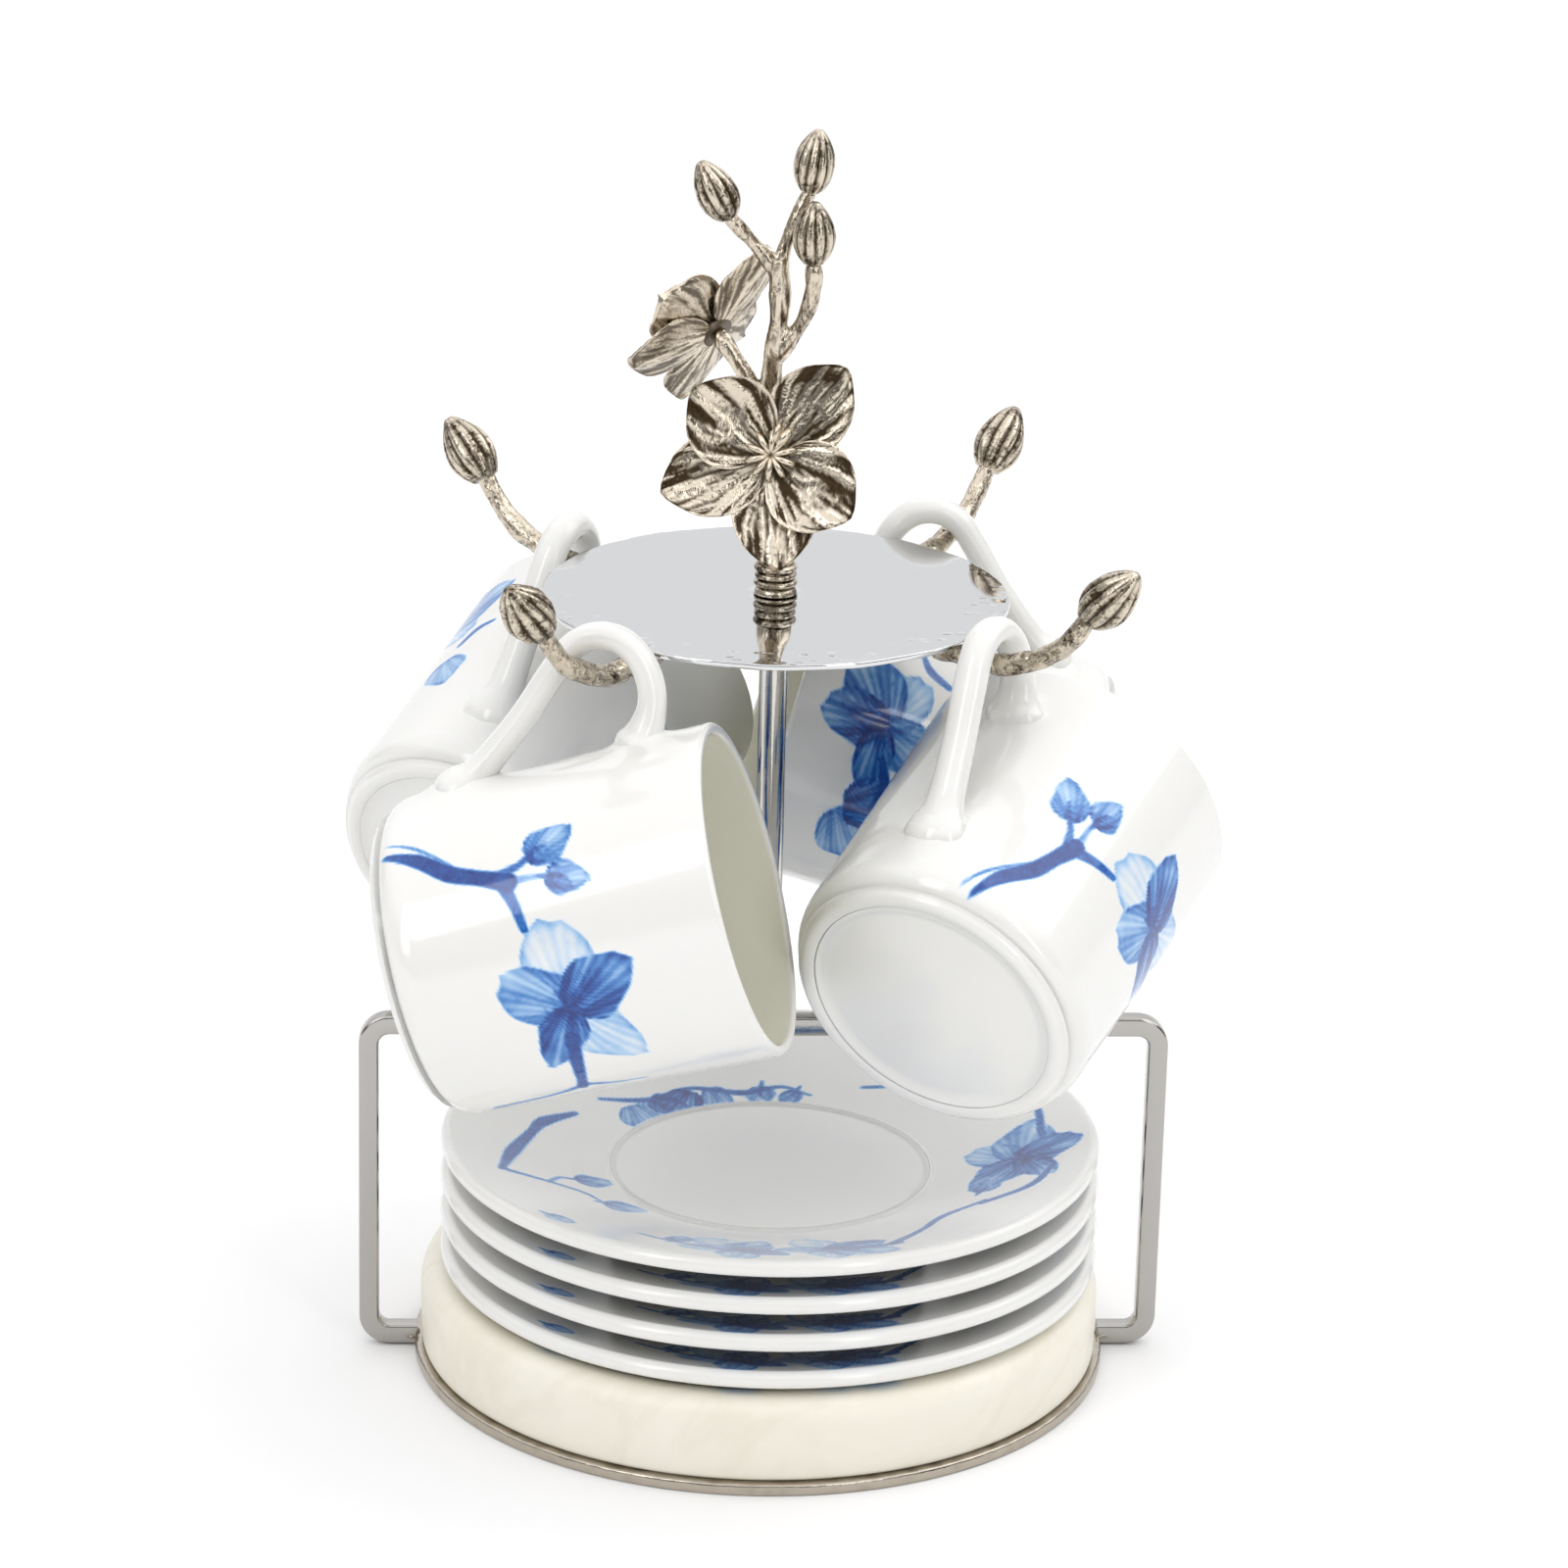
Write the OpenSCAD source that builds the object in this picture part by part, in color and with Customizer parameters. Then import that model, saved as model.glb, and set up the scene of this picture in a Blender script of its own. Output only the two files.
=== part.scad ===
// Mug tree for four espresso cups and four saucers.
// A dished stone base sits on a flat steel hoop, a bent bar arches over the saucer stack,
// and a column on that bar carries a polished plate with four cast branch hooks and a blossom finial.

/* [Base] */
// Radius of the stone base
slab_r = 62; // [56:0.5:75]
// Height of the base's rounded shoulder above the table
slab_top = 17; // [15.5:0.1:17.5]
// Height of the recess floor that the lowest saucer stands on
seat_z = 7; // [6:0.1:9]
// Thickness of the flat hoop under the base
hoop_h = 2.2; // [1.6:0.1:3.2]
// How far the hoop stands out past the base
hoop_proud = 1.3; // [0.8:0.1:3]
// Width of the flat hoop
hoop_w = 4.3; // [3:0.1:8]
// Gap between the hoop and the felt pad inside it
felt_gap = 3; // [0.5:0.1:10]

/* [Bow and column] */
// Side of the square bar that the bow is bent from
bar = 3.6; // [3:0.1:5]
// Distance from the hoop to the centre of each upright
bow_reach = 8.2; // [6.5:0.1:12]
// Clear height between the saucer stack and the crossbar
stack_room = 18.5; // [16:0.1:40]
// Inner radius of the bends
bend_r = 2; // [1.5:0.1:4]
// Diameter of the column tube
column_d = 5; // [4.6:0.1:7]
// Diameter of the tie rod inside the column
rod_d = 3; // [2.5:0.1:3.4]
// Radial clearance round the tie rod
rod_gap = 0.1; // [0.05:0.01:0.1]

/* [Plate and hooks] */
// Clear height between the saucer stack and the hanging cups
cup_room = 16.5; // [13:0.1:40]
// Radius of the plate
plate_r = 41.4; // [38:0.1:42]
// Thickness of the plate
plate_t = 1; // [0.8:0.1:1.6]
// Direction of the first hook, from the front towards the right
hook_turn = 50.9; // [45:0.1:55]
// How far a hook's seat lies out past the plate's edge
seat_reach = 5.1; // [4.5:0.1:12]
// Thickness of a branch hook at its seat
hook_d = 3.8; // [3:0.1:4.2]
// Length of the bud on a hook's end
hook_bud_l = 14.2; // [10:0.1:15]
// Widest diameter of that bud
hook_bud_d = 9.3; // [6.5:0.1:10]

/* [Finial] */
// Height of the ribbed collar
collar_h = 5.6; // [4.5:0.1:8]
// Diameter of the collar
collar_d = 7.7; // [6.5:0.1:10]
// Length of a blossom bud
bud_l = 11.4; // [9:0.1:13]
// Widest diameter of a blossom bud
bud_d = 7.5; // [5:0.1:8]
// Thickness of the cast petals
petal_t = 0.9; // [0.8:0.1:1.4]

/* [Cups] */
// Height of a cup
cup_h = 59.4; // [54:0.1:60.5]
// Outer radius of the rim
cup_r = 28.9; // [26.5:0.1:29]
// Outer radius just above the bottom corner
cup_foot_r = 27.6; // [24:0.1:28]
// Thickness of the wall
cup_wall = 2; // [1.6:0.1:3]
// Thickness of the handle strand
handle_t = 4.8; // [3.8:0.1:5.2]
// Clearance between a handle and the branch that it hangs on
hang_gap = 0.45; // [0.35:0.05:1]

/* [Saucers] */
// Radius of a saucer
saucer_r = 60; // [54:0.5:60.5]
// Height from a saucer's foot to the top of its rim
saucer_h = 14.7; // [13:0.1:16]
// Thickness of a saucer's flange
saucer_t = 3.2; // [2.4:0.1:3.6]
// Height of the well's floor above the foot
well_z = 7; // [6.5:0.1:8]
// Radius of the raised ring round the well
well_r = 29; // [28.5:0.1:32]
// Clearance between stacked feet and floors
stack_gap = 0.05; // [0.02:0.01:0.3]
// How far the loose stack sits off centre towards the right
stack_shift = 1.5; // [0:0.1:1.6]

/* [Hidden] */
$fn = 96;
HOOKS = ["front_right", "back_right", "back_left", "front_left"];
// Where each cup hangs: distance out from its hook's seat, swivel, outward lean, and which way it faces
HANG = [[-0.9, 6.5, 3.4, 0], [3.2, 36, 4.6, 0], [0.8, 11.5, 8, 180], [4.3, 27, 10, 0]];

// Saucer stack
stack_pitch = well_z + stack_gap;
stack_top = seat_z + stack_gap + 3 * stack_pitch + saucer_h;

// Hoop, bow and tie rod
hoop_r = slab_r + hoop_proud;
felt_r = hoop_r - hoop_w - felt_gap;
upright_x = hoop_r + bow_reach;
bar_sink = 0.7;
bar_z = hoop_h / 2 + bar / 2 - bar_sink;
bend_c = bend_r + bar / 2;
crossbar_z = stack_top + stack_room + bar / 2;
column_z = crossbar_z + bar / 2;
washer_t = 0.5;
nut_t = 2.4;
nut_flats = 1.83 * rod_d;
rod_tail = 0.6;
rod_bore = rod_d + 2 * rod_gap;
rod_low = crossbar_z - bar / 2 - washer_t - nut_t - rod_tail;

// Cup sections
cup_bottom_t = 2.2;
cup_corner = 4.6;
cup_foot_h = 1.1;
cup_ring_r = cup_foot_r - 2.8;
loop_h = 16.2;
hang_x = 0.735 * cup_h;
hang_z = cup_r + loop_h;
// Centre of mass of a cup with its handle: height above the foot, and offset towards the handle
mass_h = 0.445 * cup_h;
mass_side = 2;

// Plate height, at which the lowest cup clears the saucer stack
hook_sink = 0.6;
hang_tilt = atan((hang_x - mass_h) / (hang_z - mass_side));
cup_drop = hang_x * sin(hang_tilt) + (hang_z + cup_foot_r) * cos(hang_tilt);
plate_under = stack_top + cup_room + cup_drop + hook_sink;
plate_z = plate_under + plate_t;
rod_top = plate_z + 0.62 * collar_h;

// Saucer sections
foot_out = well_r - 3;
foot_w = 3;
rim_round = saucer_t / 2;
flange_in = well_r + 1.5;
flange_z = well_z + 0.3;

// Hook seat and branch line, as distances out from the axis and heights
seat_r = plate_r + seat_reach;
hook_seat_z = plate_under - hook_sink - hook_d / 2;
hook_root_z = plate_under - hook_d / 2;
hook_line = [
    [plate_r - 6.9, hook_root_z], [plate_r - 3.4, hook_root_z],
    [seat_r - 4.5, hook_seat_z + 0.25], [seat_r, hook_seat_z], [seat_r + 3.5, hook_seat_z + 0.55],
    [seat_r + 6.5, hook_seat_z + 1.7], [seat_r + 10, hook_seat_z + 3.2], [seat_r + 13.5, hook_seat_z + 5.4],
    [seat_r + 16.5, hook_seat_z + 8.6], [seat_r + 19.1, hook_seat_z + 12.2]
];
twig_from = seat_r + 11.5;
hook_bud_angle = 46;

// Upward tilt at which a cup's weight hangs straight below its hook
function lean(i) = HANG[i][2] * (HANG[i][3] > 0 ? 1 : -1);
function tilt(i) = let (k = sin(lean(i)) * tan(HANG[i][1]), x = mass_h - hang_x, z = mass_side - hang_z)
    atan((x + k * z) / (z - k * x));

// Height of the top of a hook at a distance out from the axis, and of the seat that a handle finds there
function hook_top(r) = let (n = len(hook_line),
    k = max([for (i = [0 : n - 2]) hook_line[i][0] <= r ? i : 0]), a = hook_line[k], b = hook_line[k + 1])
    a[1] + (b[1] - a[1]) * (r - a[0]) / (b[0] - a[0]) + hook_d / 2;
function hang_r(i) = seat_r + HANG[i][0];
function hang_top(i) = let (half = 0.7 * handle_t * (1 + 1.25 * sin(HANG[i][1])))
    hang_gap + max(hook_top(hang_r(i) - half), hook_top(hang_r(i)), hook_top(hang_r(i) + half));

// Smooth curve through a list of points
function catmull(p, i, t) = let (n = len(p) - 1, a = p[max(i - 1, 0)], b = p[i], c = p[min(i + 1, n)],
    d = p[min(i + 2, n)])
    0.5 * ((2 * b) + (c - a) * t + (2 * a - 5 * b + 4 * c - d) * t * t + (3 * b - a - 3 * c + d) * t * t * t);
function smooth(p, steps) = concat(
    [for (i = [0 : len(p) - 2]) for (s = [0 : steps - 1]) catmull(p, i, s / steps)], [p[len(p) - 1]]);
function unit(v) = v / norm(v);

// A tube through points [x, y, z, radius], widened by squash along the side vector;
// first and last are the directions that its two ends are cut square to
module branch(points, side, squash = 1, sides = 10, first = undef, last = undef) {
    n = len(points);
    xyz = [for (p = points) [p[0], p[1], p[2]]];
    rings = [for (i = [0 : n - 1]) let (
        along = xyz[min(i + 1, n - 1)] - xyz[max(i - 1, 0)],
        t = unit(i == 0 && first != undef ? first : i == n - 1 && last != undef ? last : along),
        u = unit(side - (side * t) * t),
        v = cross(t, u))
        [for (k = [0 : sides - 1]) xyz[i] + points[i][3] * (cos(360 * k / sides) * u * squash
            + sin(360 * k / sides) * v)]];
    walls = [for (i = [0 : n - 2]) for (k = [0 : sides - 1]) let (m = (k + 1) % sides)
        [i * sides + k, (i + 1) * sides + k, (i + 1) * sides + m, i * sides + m]];
    polyhedron(points = [for (r = rings) for (p = r) p],
        faces = concat([[for (k = [0 : sides - 1]) k]], walls,
            [[for (k = [sides - 1 : -1 : 0]) (n - 1) * sides + k]]), convexity = 6);
}

// A pointed, closed bud standing on its stalk, base at the origin
module bud_form(length, width) {
    steps = 10;
    rotate_extrude($fn = 40)
        polygon(concat([[0, 0]],
            [for (i = [0 : steps - 1]) let (t = i / steps)
                [width / 2 * pow(sin(180 * pow(t * 0.94 + 0.06, 0.8)), 0.8), length * t]],
            [[0, length]]));
}

// One cupped petal lying along +X and facing +Z
module petal(length, width, cup, thick) {
    nv = 7;
    nu = 6;
    root = 2;
    function half(v) = 0.5 * width * pow(sin(180 * (0.06 + 0.86 * pow(v, 0.8))), 0.55);
    function spot(i, j, drop) = let (v = i / nv, u = 2 * j / nu - 1, s = sqrt(1 - 0.32 * u * u))
        [root + (length - root) * v * (1 - 0.1 * u * u * v), half(v) * u,
            cup * (0.9 * v * v + 0.5 * u * u * sin(180 * min(v, 0.9))) - drop];
    top = [for (i = [0 : nv]) for (j = [0 : nu]) spot(i, j, 0)];
    low = [for (i = [0 : nv]) for (j = [0 : nu]) spot(i, j, thick)];
    m = nu + 1;
    o = (nv + 1) * m;
    quads = [for (i = [0 : nv - 1]) for (j = [0 : nu - 1]) [i * m + j, (i + 1) * m + j, (i + 1) * m + j + 1,
        i * m + j + 1]];
    tri_up = [for (q = quads) for (t = [[q[0], q[2], q[1]], [q[0], q[3], q[2]]]) t];
    tri_dn = [for (q = quads) for (t = [[q[0] + o, q[1] + o, q[2] + o], [q[0] + o, q[2] + o, q[3] + o]]) t];
    loop = concat([for (j = [0 : nu - 1]) j], [for (i = [0 : nv - 1]) i * m + nu],
        [for (j = [nu : -1 : 1]) nv * m + j], [for (i = [nv : -1 : 1]) i * m]);
    edge = [for (k = [0 : len(loop) - 1]) let (a = loop[k], b = loop[(k + 1) % len(loop)])
        for (t = [[a, b, b + o], [a, b + o, a + o]]) t];
    polyhedron(points = concat(top, low), faces = concat(tri_up, tri_dn, edge), convexity = 6);
}

// Five petals of an orchid: three behind, two broad ones in front
module orchid_form(length, width, cup) {
    for (a = [0, 150, 225]) rotate([0, 0, a]) petal(length, width * 0.9, cup * 0.7, petal_t);
    for (a = [-87, 91]) translate([0, 0, 1.2]) rotate([0, 0, a]) petal(length * 0.88, width, cup, petal_t);
    translate([0, 0, -petal_t]) cylinder(r = 3.2, h = petal_t + heart_z - 0.05, $fn = 32);
}

module heart_form() {
    rotate_extrude($fn = 32)
        polygon([[0, 0], [2.9, 0], [3.1, 0.8], [2.2, 1.9], [1.5, 3.4], [0.7, 4.2], [0, 4.3]]);
}

// Places a child that faces +Z at a point, with its up direction turned and its face tipped
module face_towards(at, heading, rise, roll) {
    translate(at) rotate([0, 0, heading]) rotate([0, 90 - rise, 0]) rotate([0, 0, roll]) children();
}

module base_slab() {
    shoulder = 4.6;
    color("ivory") rotate_extrude($fn = 180)
        polygon(concat(
            [[0, hoop_h], [slab_r - 1.2, hoop_h], [slab_r, hoop_h + 1.2]],
            [for (a = [0 : 15 : 90])
                [slab_r - shoulder + shoulder * cos(a), slab_top - shoulder + shoulder * sin(a)]],
            [[slab_r - shoulder - 2.6, slab_top - 0.5], [slab_r - shoulder - 5, slab_top - 1.6],
                [flange_in + 1.6, seat_z + 2], [flange_in - 0.6, seat_z + 0.3],
                [flange_in - 1.6, seat_z], [0, seat_z]]));
}

module base_hoop() {
    color("silver") difference() {
        cylinder(r = hoop_r, h = hoop_h, $fn = 180);
        translate([0, 0, -1]) cylinder(r = hoop_r - hoop_w, h = hoop_h + 2, $fn = 180);
    }
}

module felt_pad() {
    color("dimgray") cylinder(r = felt_r, h = hoop_h);
}

module bend(turn) {
    rotate([90, 0, 0]) rotate([0, 0, turn]) rotate_extrude(angle = 90)
        translate([bend_c - bar / 2, -bar / 2]) square(bar);
}

module bow_bar() {
    low = bar_z + bend_c;
    high = crossbar_z - bend_c;
    across = upright_x - bend_c;
    color("silver") difference() {
        union() {
            translate([-across, -bar / 2, crossbar_z - bar / 2]) cube([2 * across, bar, bar]);
            for (s = [-1, 1]) {
                translate([s * upright_x - bar / 2, -bar / 2, low]) cube([bar, bar, high - low]);
                translate([s > 0 ? hoop_r - 1 : -across, -bar / 2, bar_z - bar / 2])
                    cube([across - hoop_r + 1, bar, bar]);
            }
            translate([across, 0, high]) bend(0);
            translate([-across, 0, high]) bend(90);
            translate([-across, 0, low]) bend(180);
            translate([across, 0, low]) bend(270);
        }
        translate([0, 0, -1]) cylinder(r = hoop_r, h = bar_z + bar + 1, $fn = 180);
        translate([0, 0, crossbar_z - bar]) cylinder(d = rod_bore, h = 2 * bar);
    }
}

module column() {
    color("silver") translate([0, 0, column_z]) difference() {
        cylinder(d = column_d, h = plate_under - column_z);
        translate([0, 0, -1]) cylinder(d = rod_bore, h = plate_under - column_z + 2);
    }
}

module tie_rod() {
    color("gray") translate([0, 0, rod_low]) cylinder(d = rod_d, h = rod_top - rod_low);
}

module rod_washer() {
    color("gray") translate([0, 0, crossbar_z - bar / 2 - washer_t]) difference() {
        cylinder(d = 2.2 * rod_d, h = washer_t);
        translate([0, 0, -1]) cylinder(d = rod_bore, h = washer_t + 2);
    }
}

module rod_nut() {
    color("gray") translate([0, 0, crossbar_z - bar / 2 - washer_t - nut_t]) difference() {
        cylinder(d = nut_flats / cos(30), h = nut_t, $fn = 6);
        translate([0, 0, -1]) cylinder(d = rod_bore, h = nut_t + 2);
    }
}

module top_plate() {
    color("gainsboro") translate([0, 0, plate_under]) difference() {
        cylinder(r = plate_r, h = plate_t, $fn = 180);
        translate([0, 0, -1]) cylinder(d = rod_bore, h = plate_t + 2);
    }
}

module hook(i) {
    line = smooth([for (p = hook_line) [p[0], 0, p[1], hook_d / 2 * (p[0] > twig_from ? 0.88 : 1)]], 3);
    tip = hook_line[len(hook_line) - 1];
    color("tan") rotate([0, 0, hook_turn + 90 * i - 90]) {
        branch(line, [0, 1, 0]);
        translate([tip[0], 0, tip[1]]) rotate([0, 90 - hook_bud_angle, 0])
            translate([0, 0, -0.6]) bud_form(hook_bud_l, hook_bud_d);
    }
}

module finial_collar() {
    rib = collar_h / 4;
    color("tan") translate([0, 0, plate_z]) difference() {
        rotate_extrude($fn = 48) polygon(concat([[0, 0]],
            [for (i = [0 : 3]) for (p = [[0.86, 0], [1, 0.3], [1, 0.7], [0.86, 1]])
                [collar_d / 2 * p[0], (i + p[1]) * rib]],
            [[0, collar_h]]));
        translate([0, 0, -1]) cylinder(d = rod_bore, h = rod_top - plate_z + 1 + rod_gap);
    }
}

// Finial, as places above the collar's top
fork = [-1, 0, 54.4];
left_end = [-9.3, 0, 61.7];
top_end = [4.4, 1.2, 66];
mid_end = [5.1, -2.6, 54.3];
left_aim = [-5.4, 0, 9.8];
top_aim = [1.4, 0, 11];
mid_aim = [0, -0.5, 10.5];
front_at = [-1.9, -9.6, 22.1];
front_face = [267, 17, 140];
rear_at = [-11.4, 5.2, 40.6];
rear_face = [133, 29, 205];
joint_gap = 0.06;
heart_z = 1.35;
function facing(f) = [cos(f[0]) * cos(f[1]), sin(f[0]) * cos(f[1]), sin(f[1])];
function end_point(p, r) = [p[0], p[1], p[2], r];

module twig(points, side, aim) {
    branch(smooth(points, 4), side, last = aim);
}

module on_collar() {
    translate([0, 0, plate_z + collar_h]) children();
}

// Stem, side branches and the stalks of both blossoms
module blossom_stem() {
    front_end = front_at - facing(front_face) * (petal_t + joint_gap);
    rear_end = rear_at - facing(rear_face) * (petal_t + joint_gap);
    color("tan") on_collar() union() {
        branch(smooth([[0, 0, joint_gap, 2.9], [-0.6, 0.6, 7.7, 2.3], [-1.2, 0.8, 20.7, 2.1],
            [-1.5, 0.6, 33.7, 1.95], [-0.7, 0, 41.7, 1.8], [-0.4, 0, 48.7, 1.7], end_point(fork, 1.9)], 3),
            [0, 1, 0], first = [0, 0, 1]);
        twig([[-0.6, 0, 52.2, 1.4], [-5.7, 0, 57.8, 1.3], end_point(left_end, 1.35)], [0, 1, 0], left_aim);
        twig([[-1, 0, 52.2, 1.4], [1.1, 0.4, 59.1, 1.2], end_point(top_end, 1.3)], [0, 1, 0], top_aim);
        twig([[-0.7, 0, 37.2, 1.5], [3.6, -1.1, 43.9, 1.45], [5.1, -2.2, 49.9, 1.5], end_point(mid_end, 1.4)],
            [0, 1, 0], mid_aim);
        twig([[-1.2, 1.5, 18.2, 1.7], [-1.6, -3.5, 20.3, 1.6], end_point(front_end, 1.7)], [1, 0, 0],
            facing(front_face));
        twig([[-1.3, 0.8, 25.7, 1.6], [-4.4, 1.4, 31.2, 1.45], [-7.8, 2.6, 36.3, 1.45],
            end_point(rear_end, 1.7)], [0, 1, 0], facing(rear_face));
    }
}

// A bud at the end of a stalk, pointing along its aim
module stem_bud(at, aim) {
    heading = atan2(aim[1], aim[0]);
    slope = atan2(norm([aim[0], aim[1]]), aim[2]);
    color("tan") on_collar() translate(at + joint_gap * unit(aim))
        rotate([0, 0, heading]) rotate([0, slope, 0]) bud_form(bud_l, bud_d);
}

module bud_left() { stem_bud(left_end, left_aim); }
module bud_top() { stem_bud(top_end, top_aim); }
module bud_middle() { stem_bud(mid_end, mid_aim); }

// An orchid's own frame, facing +Z, set at its place on the stem
module blossom(at, face) {
    color("tan") on_collar() face_towards(at, face[0], face[1], face[2]) children();
}

module front_orchid() { blossom(front_at, front_face) orchid_form(20, 16.5, 3.6); }
module front_orchid_heart() { blossom(front_at, front_face) translate([0, 0, heart_z]) heart_form(); }
module rear_orchid() { blossom(rear_at, rear_face) orchid_form(17.3, 14.8, 3.1); }
module rear_orchid_heart() { blossom(rear_at, rear_face) translate([0, 0, heart_z]) heart_form(); }

// Stands a cup's own frame in place: +X from its bottom to its rim, +Z towards its handle, origin at the hook
module hung(i) {
    h = HANG[i];
    azimuth = hook_turn + 90 * i;
    rotate([0, 0, azimuth - 90]) translate([hang_r(i), 0, hang_top(i)])
        rotate([0, 0, 90 + h[1] + h[3]]) rotate([lean(i), 0, 0]) rotate([0, -tilt(i), 0])
            children();
}

// Stands a shape drawn upright on a cup's foot into that frame
module cup_upright() {
    translate([-hang_x, 0, -hang_z]) rotate([0, 90, 0]) children();
}

module cup_outside(grow = 0) {
    wall_low = cup_foot_h + cup_corner;
    rotate_extrude($fn = 120)
        polygon(concat([[0, cup_foot_h - grow], [cup_foot_r - cup_corner, cup_foot_h - grow]],
            [for (a = [15 : 15 : 90]) [cup_foot_r - cup_corner + (cup_corner + grow) * sin(a),
                wall_low - (cup_corner + grow) * cos(a)]],
            [[cup_r + grow, cup_h + grow], [0, cup_h + grow]]));
}

module cup(i) {
    inner = cup_corner - 0.6;
    floor_z = cup_foot_h + cup_bottom_t;
    in_low = cup_foot_r - cup_wall;
    color("white") hung(i) cup_upright() {
        difference() {
            union() {
                cup_outside();
                cylinder(r = cup_ring_r, h = cup_foot_h + 1);
            }
            translate([0, 0, -1]) cylinder(r = cup_ring_r - 2.4, h = cup_foot_h + 1);
            rotate_extrude($fn = 120)
                polygon(concat([[0, floor_z], [in_low - inner, floor_z]],
                    [for (a = [18 : 18 : 90])
                        [in_low - inner + inner * sin(a), floor_z + inner - inner * cos(a)]],
                    [[cup_r - cup_wall, cup_h + 0.01], [0, cup_h + 0.01]]));
        }
    }
}

// Ear-shaped handle: a round loop near the rim and a straight strand down to the foot of the cup
module handle(i) {
    r = handle_t / 2;
    line = [
        [-hang_x + 14.5, -hang_z + cup_foot_r - 1.2, r * 1.5], [-hang_x + 19, -15.6, r * 1.12],
        [-15.6, -8.6, r], [-9, -2.6, r], [-4.2, 1.3, r], [0, r, r], [4.2, 0.8, r], [6.8, -3, r],
        [7.6, -7.6, r], [6.6, -12, r * 1.08], [3.4, -hang_z + cup_r - 1.2, r * 1.5]
    ];
    color("white") hung(i) difference() {
        branch(smooth([for (p = line) [p[0], 0, p[1], p[2]]], 3), [0, 1, 0], 1.25, 12);
        cup_upright() cup_outside();
    }
}

module saucer(k) {
    steps = 6;
    function top_at(t) = [flange_in + (saucer_r - rim_round - flange_in) * t,
        flange_z + (saucer_h - flange_z) * pow(t, 1.15)];
    color("white") translate([stack_shift, 0, seat_z + stack_gap + k * stack_pitch]) rotate_extrude($fn = 180)
        polygon(concat(
            [[0, well_z], [well_r - 1.3, well_z],
                [well_r - 0.5, well_z + 0.45], [well_r + 0.3, well_z + 0.5]],
            [for (s = [0 : steps]) top_at(s / steps)],
            [for (a = [60 : -30 : -60])
                [saucer_r - rim_round + rim_round * cos(a), saucer_h - rim_round + rim_round * sin(a)]],
            [for (s = [steps : -1 : 0]) top_at(s / steps) - [0, saucer_t]],
            [[foot_out + 0.8, flange_z - saucer_t - 0.4], [foot_out, 0], [foot_out - foot_w, 0],
                [foot_out - foot_w - 0.6, well_z - saucer_t], [0, well_z - saucer_t]]));
}

base_slab();
base_hoop();
felt_pad();
bow_bar();
column();
tie_rod();
rod_washer();
rod_nut();
top_plate();
finial_collar();
blossom_stem();
bud_left();
bud_top();
bud_middle();
front_orchid();
front_orchid_heart();
rear_orchid();
rear_orchid_heart();
for (i = [0 : 3]) {
    hook(i);
    cup(i);
    handle(i);
    saucer(i);
}
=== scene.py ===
import math

import bpy
import numpy as np
from mathutils import Matrix, Vector, noise


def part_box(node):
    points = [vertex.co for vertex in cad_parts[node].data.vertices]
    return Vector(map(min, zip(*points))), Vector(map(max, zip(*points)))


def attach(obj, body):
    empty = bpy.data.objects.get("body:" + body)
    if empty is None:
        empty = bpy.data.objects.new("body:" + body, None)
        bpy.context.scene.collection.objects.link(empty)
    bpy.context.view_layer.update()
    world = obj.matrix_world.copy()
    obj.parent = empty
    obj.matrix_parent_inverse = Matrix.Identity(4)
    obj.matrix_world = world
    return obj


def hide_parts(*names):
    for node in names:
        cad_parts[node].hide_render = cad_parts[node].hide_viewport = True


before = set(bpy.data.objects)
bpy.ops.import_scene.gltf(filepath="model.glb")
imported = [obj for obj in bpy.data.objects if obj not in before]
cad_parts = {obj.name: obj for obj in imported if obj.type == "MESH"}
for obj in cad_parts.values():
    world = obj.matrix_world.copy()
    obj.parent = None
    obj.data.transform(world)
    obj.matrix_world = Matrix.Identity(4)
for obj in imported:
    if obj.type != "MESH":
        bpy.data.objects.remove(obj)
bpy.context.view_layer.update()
scene = bpy.context.scene
MM = 0.001

# ---------------------------------------------------------------------------------------------------------
# Camera, floor and light
# A long lens looks slightly down on the stand, which stands on a wide pale floor. Three soft boxes and a pale
# room light it, and the room is darker behind the camera, which gives the metal its dark reflections.

CAMERA_AT = Vector((-0.04933, -0.90671, 0.42616))
PITCH, YAW, ROLL = (math.radians(a) for a in (19.246, 3.263, 1.402))
ahead = Vector((math.sin(YAW) * math.cos(PITCH), math.cos(YAW) * math.cos(PITCH), -math.sin(PITCH)))
level = ahead.cross(Vector((0, 0, 1))).normalized()
overhead = level.cross(ahead)
camera_right = level * math.cos(ROLL) + overhead * math.sin(ROLL)
camera_up = overhead * math.cos(ROLL) - level * math.sin(ROLL)
camera = bpy.data.objects.new("camera", bpy.data.cameras.new("camera"))
camera.data.lens = 124.04
camera.data.clip_start, camera.data.clip_end = 0.01, 50
turn = Matrix((camera_right, camera_up, -ahead)).transposed().to_4x4()
camera.matrix_world = Matrix.Translation(CAMERA_AT) @ turn
scene.collection.objects.link(camera)
scene.camera = camera
scene.view_settings.view_transform = "Standard"


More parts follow.
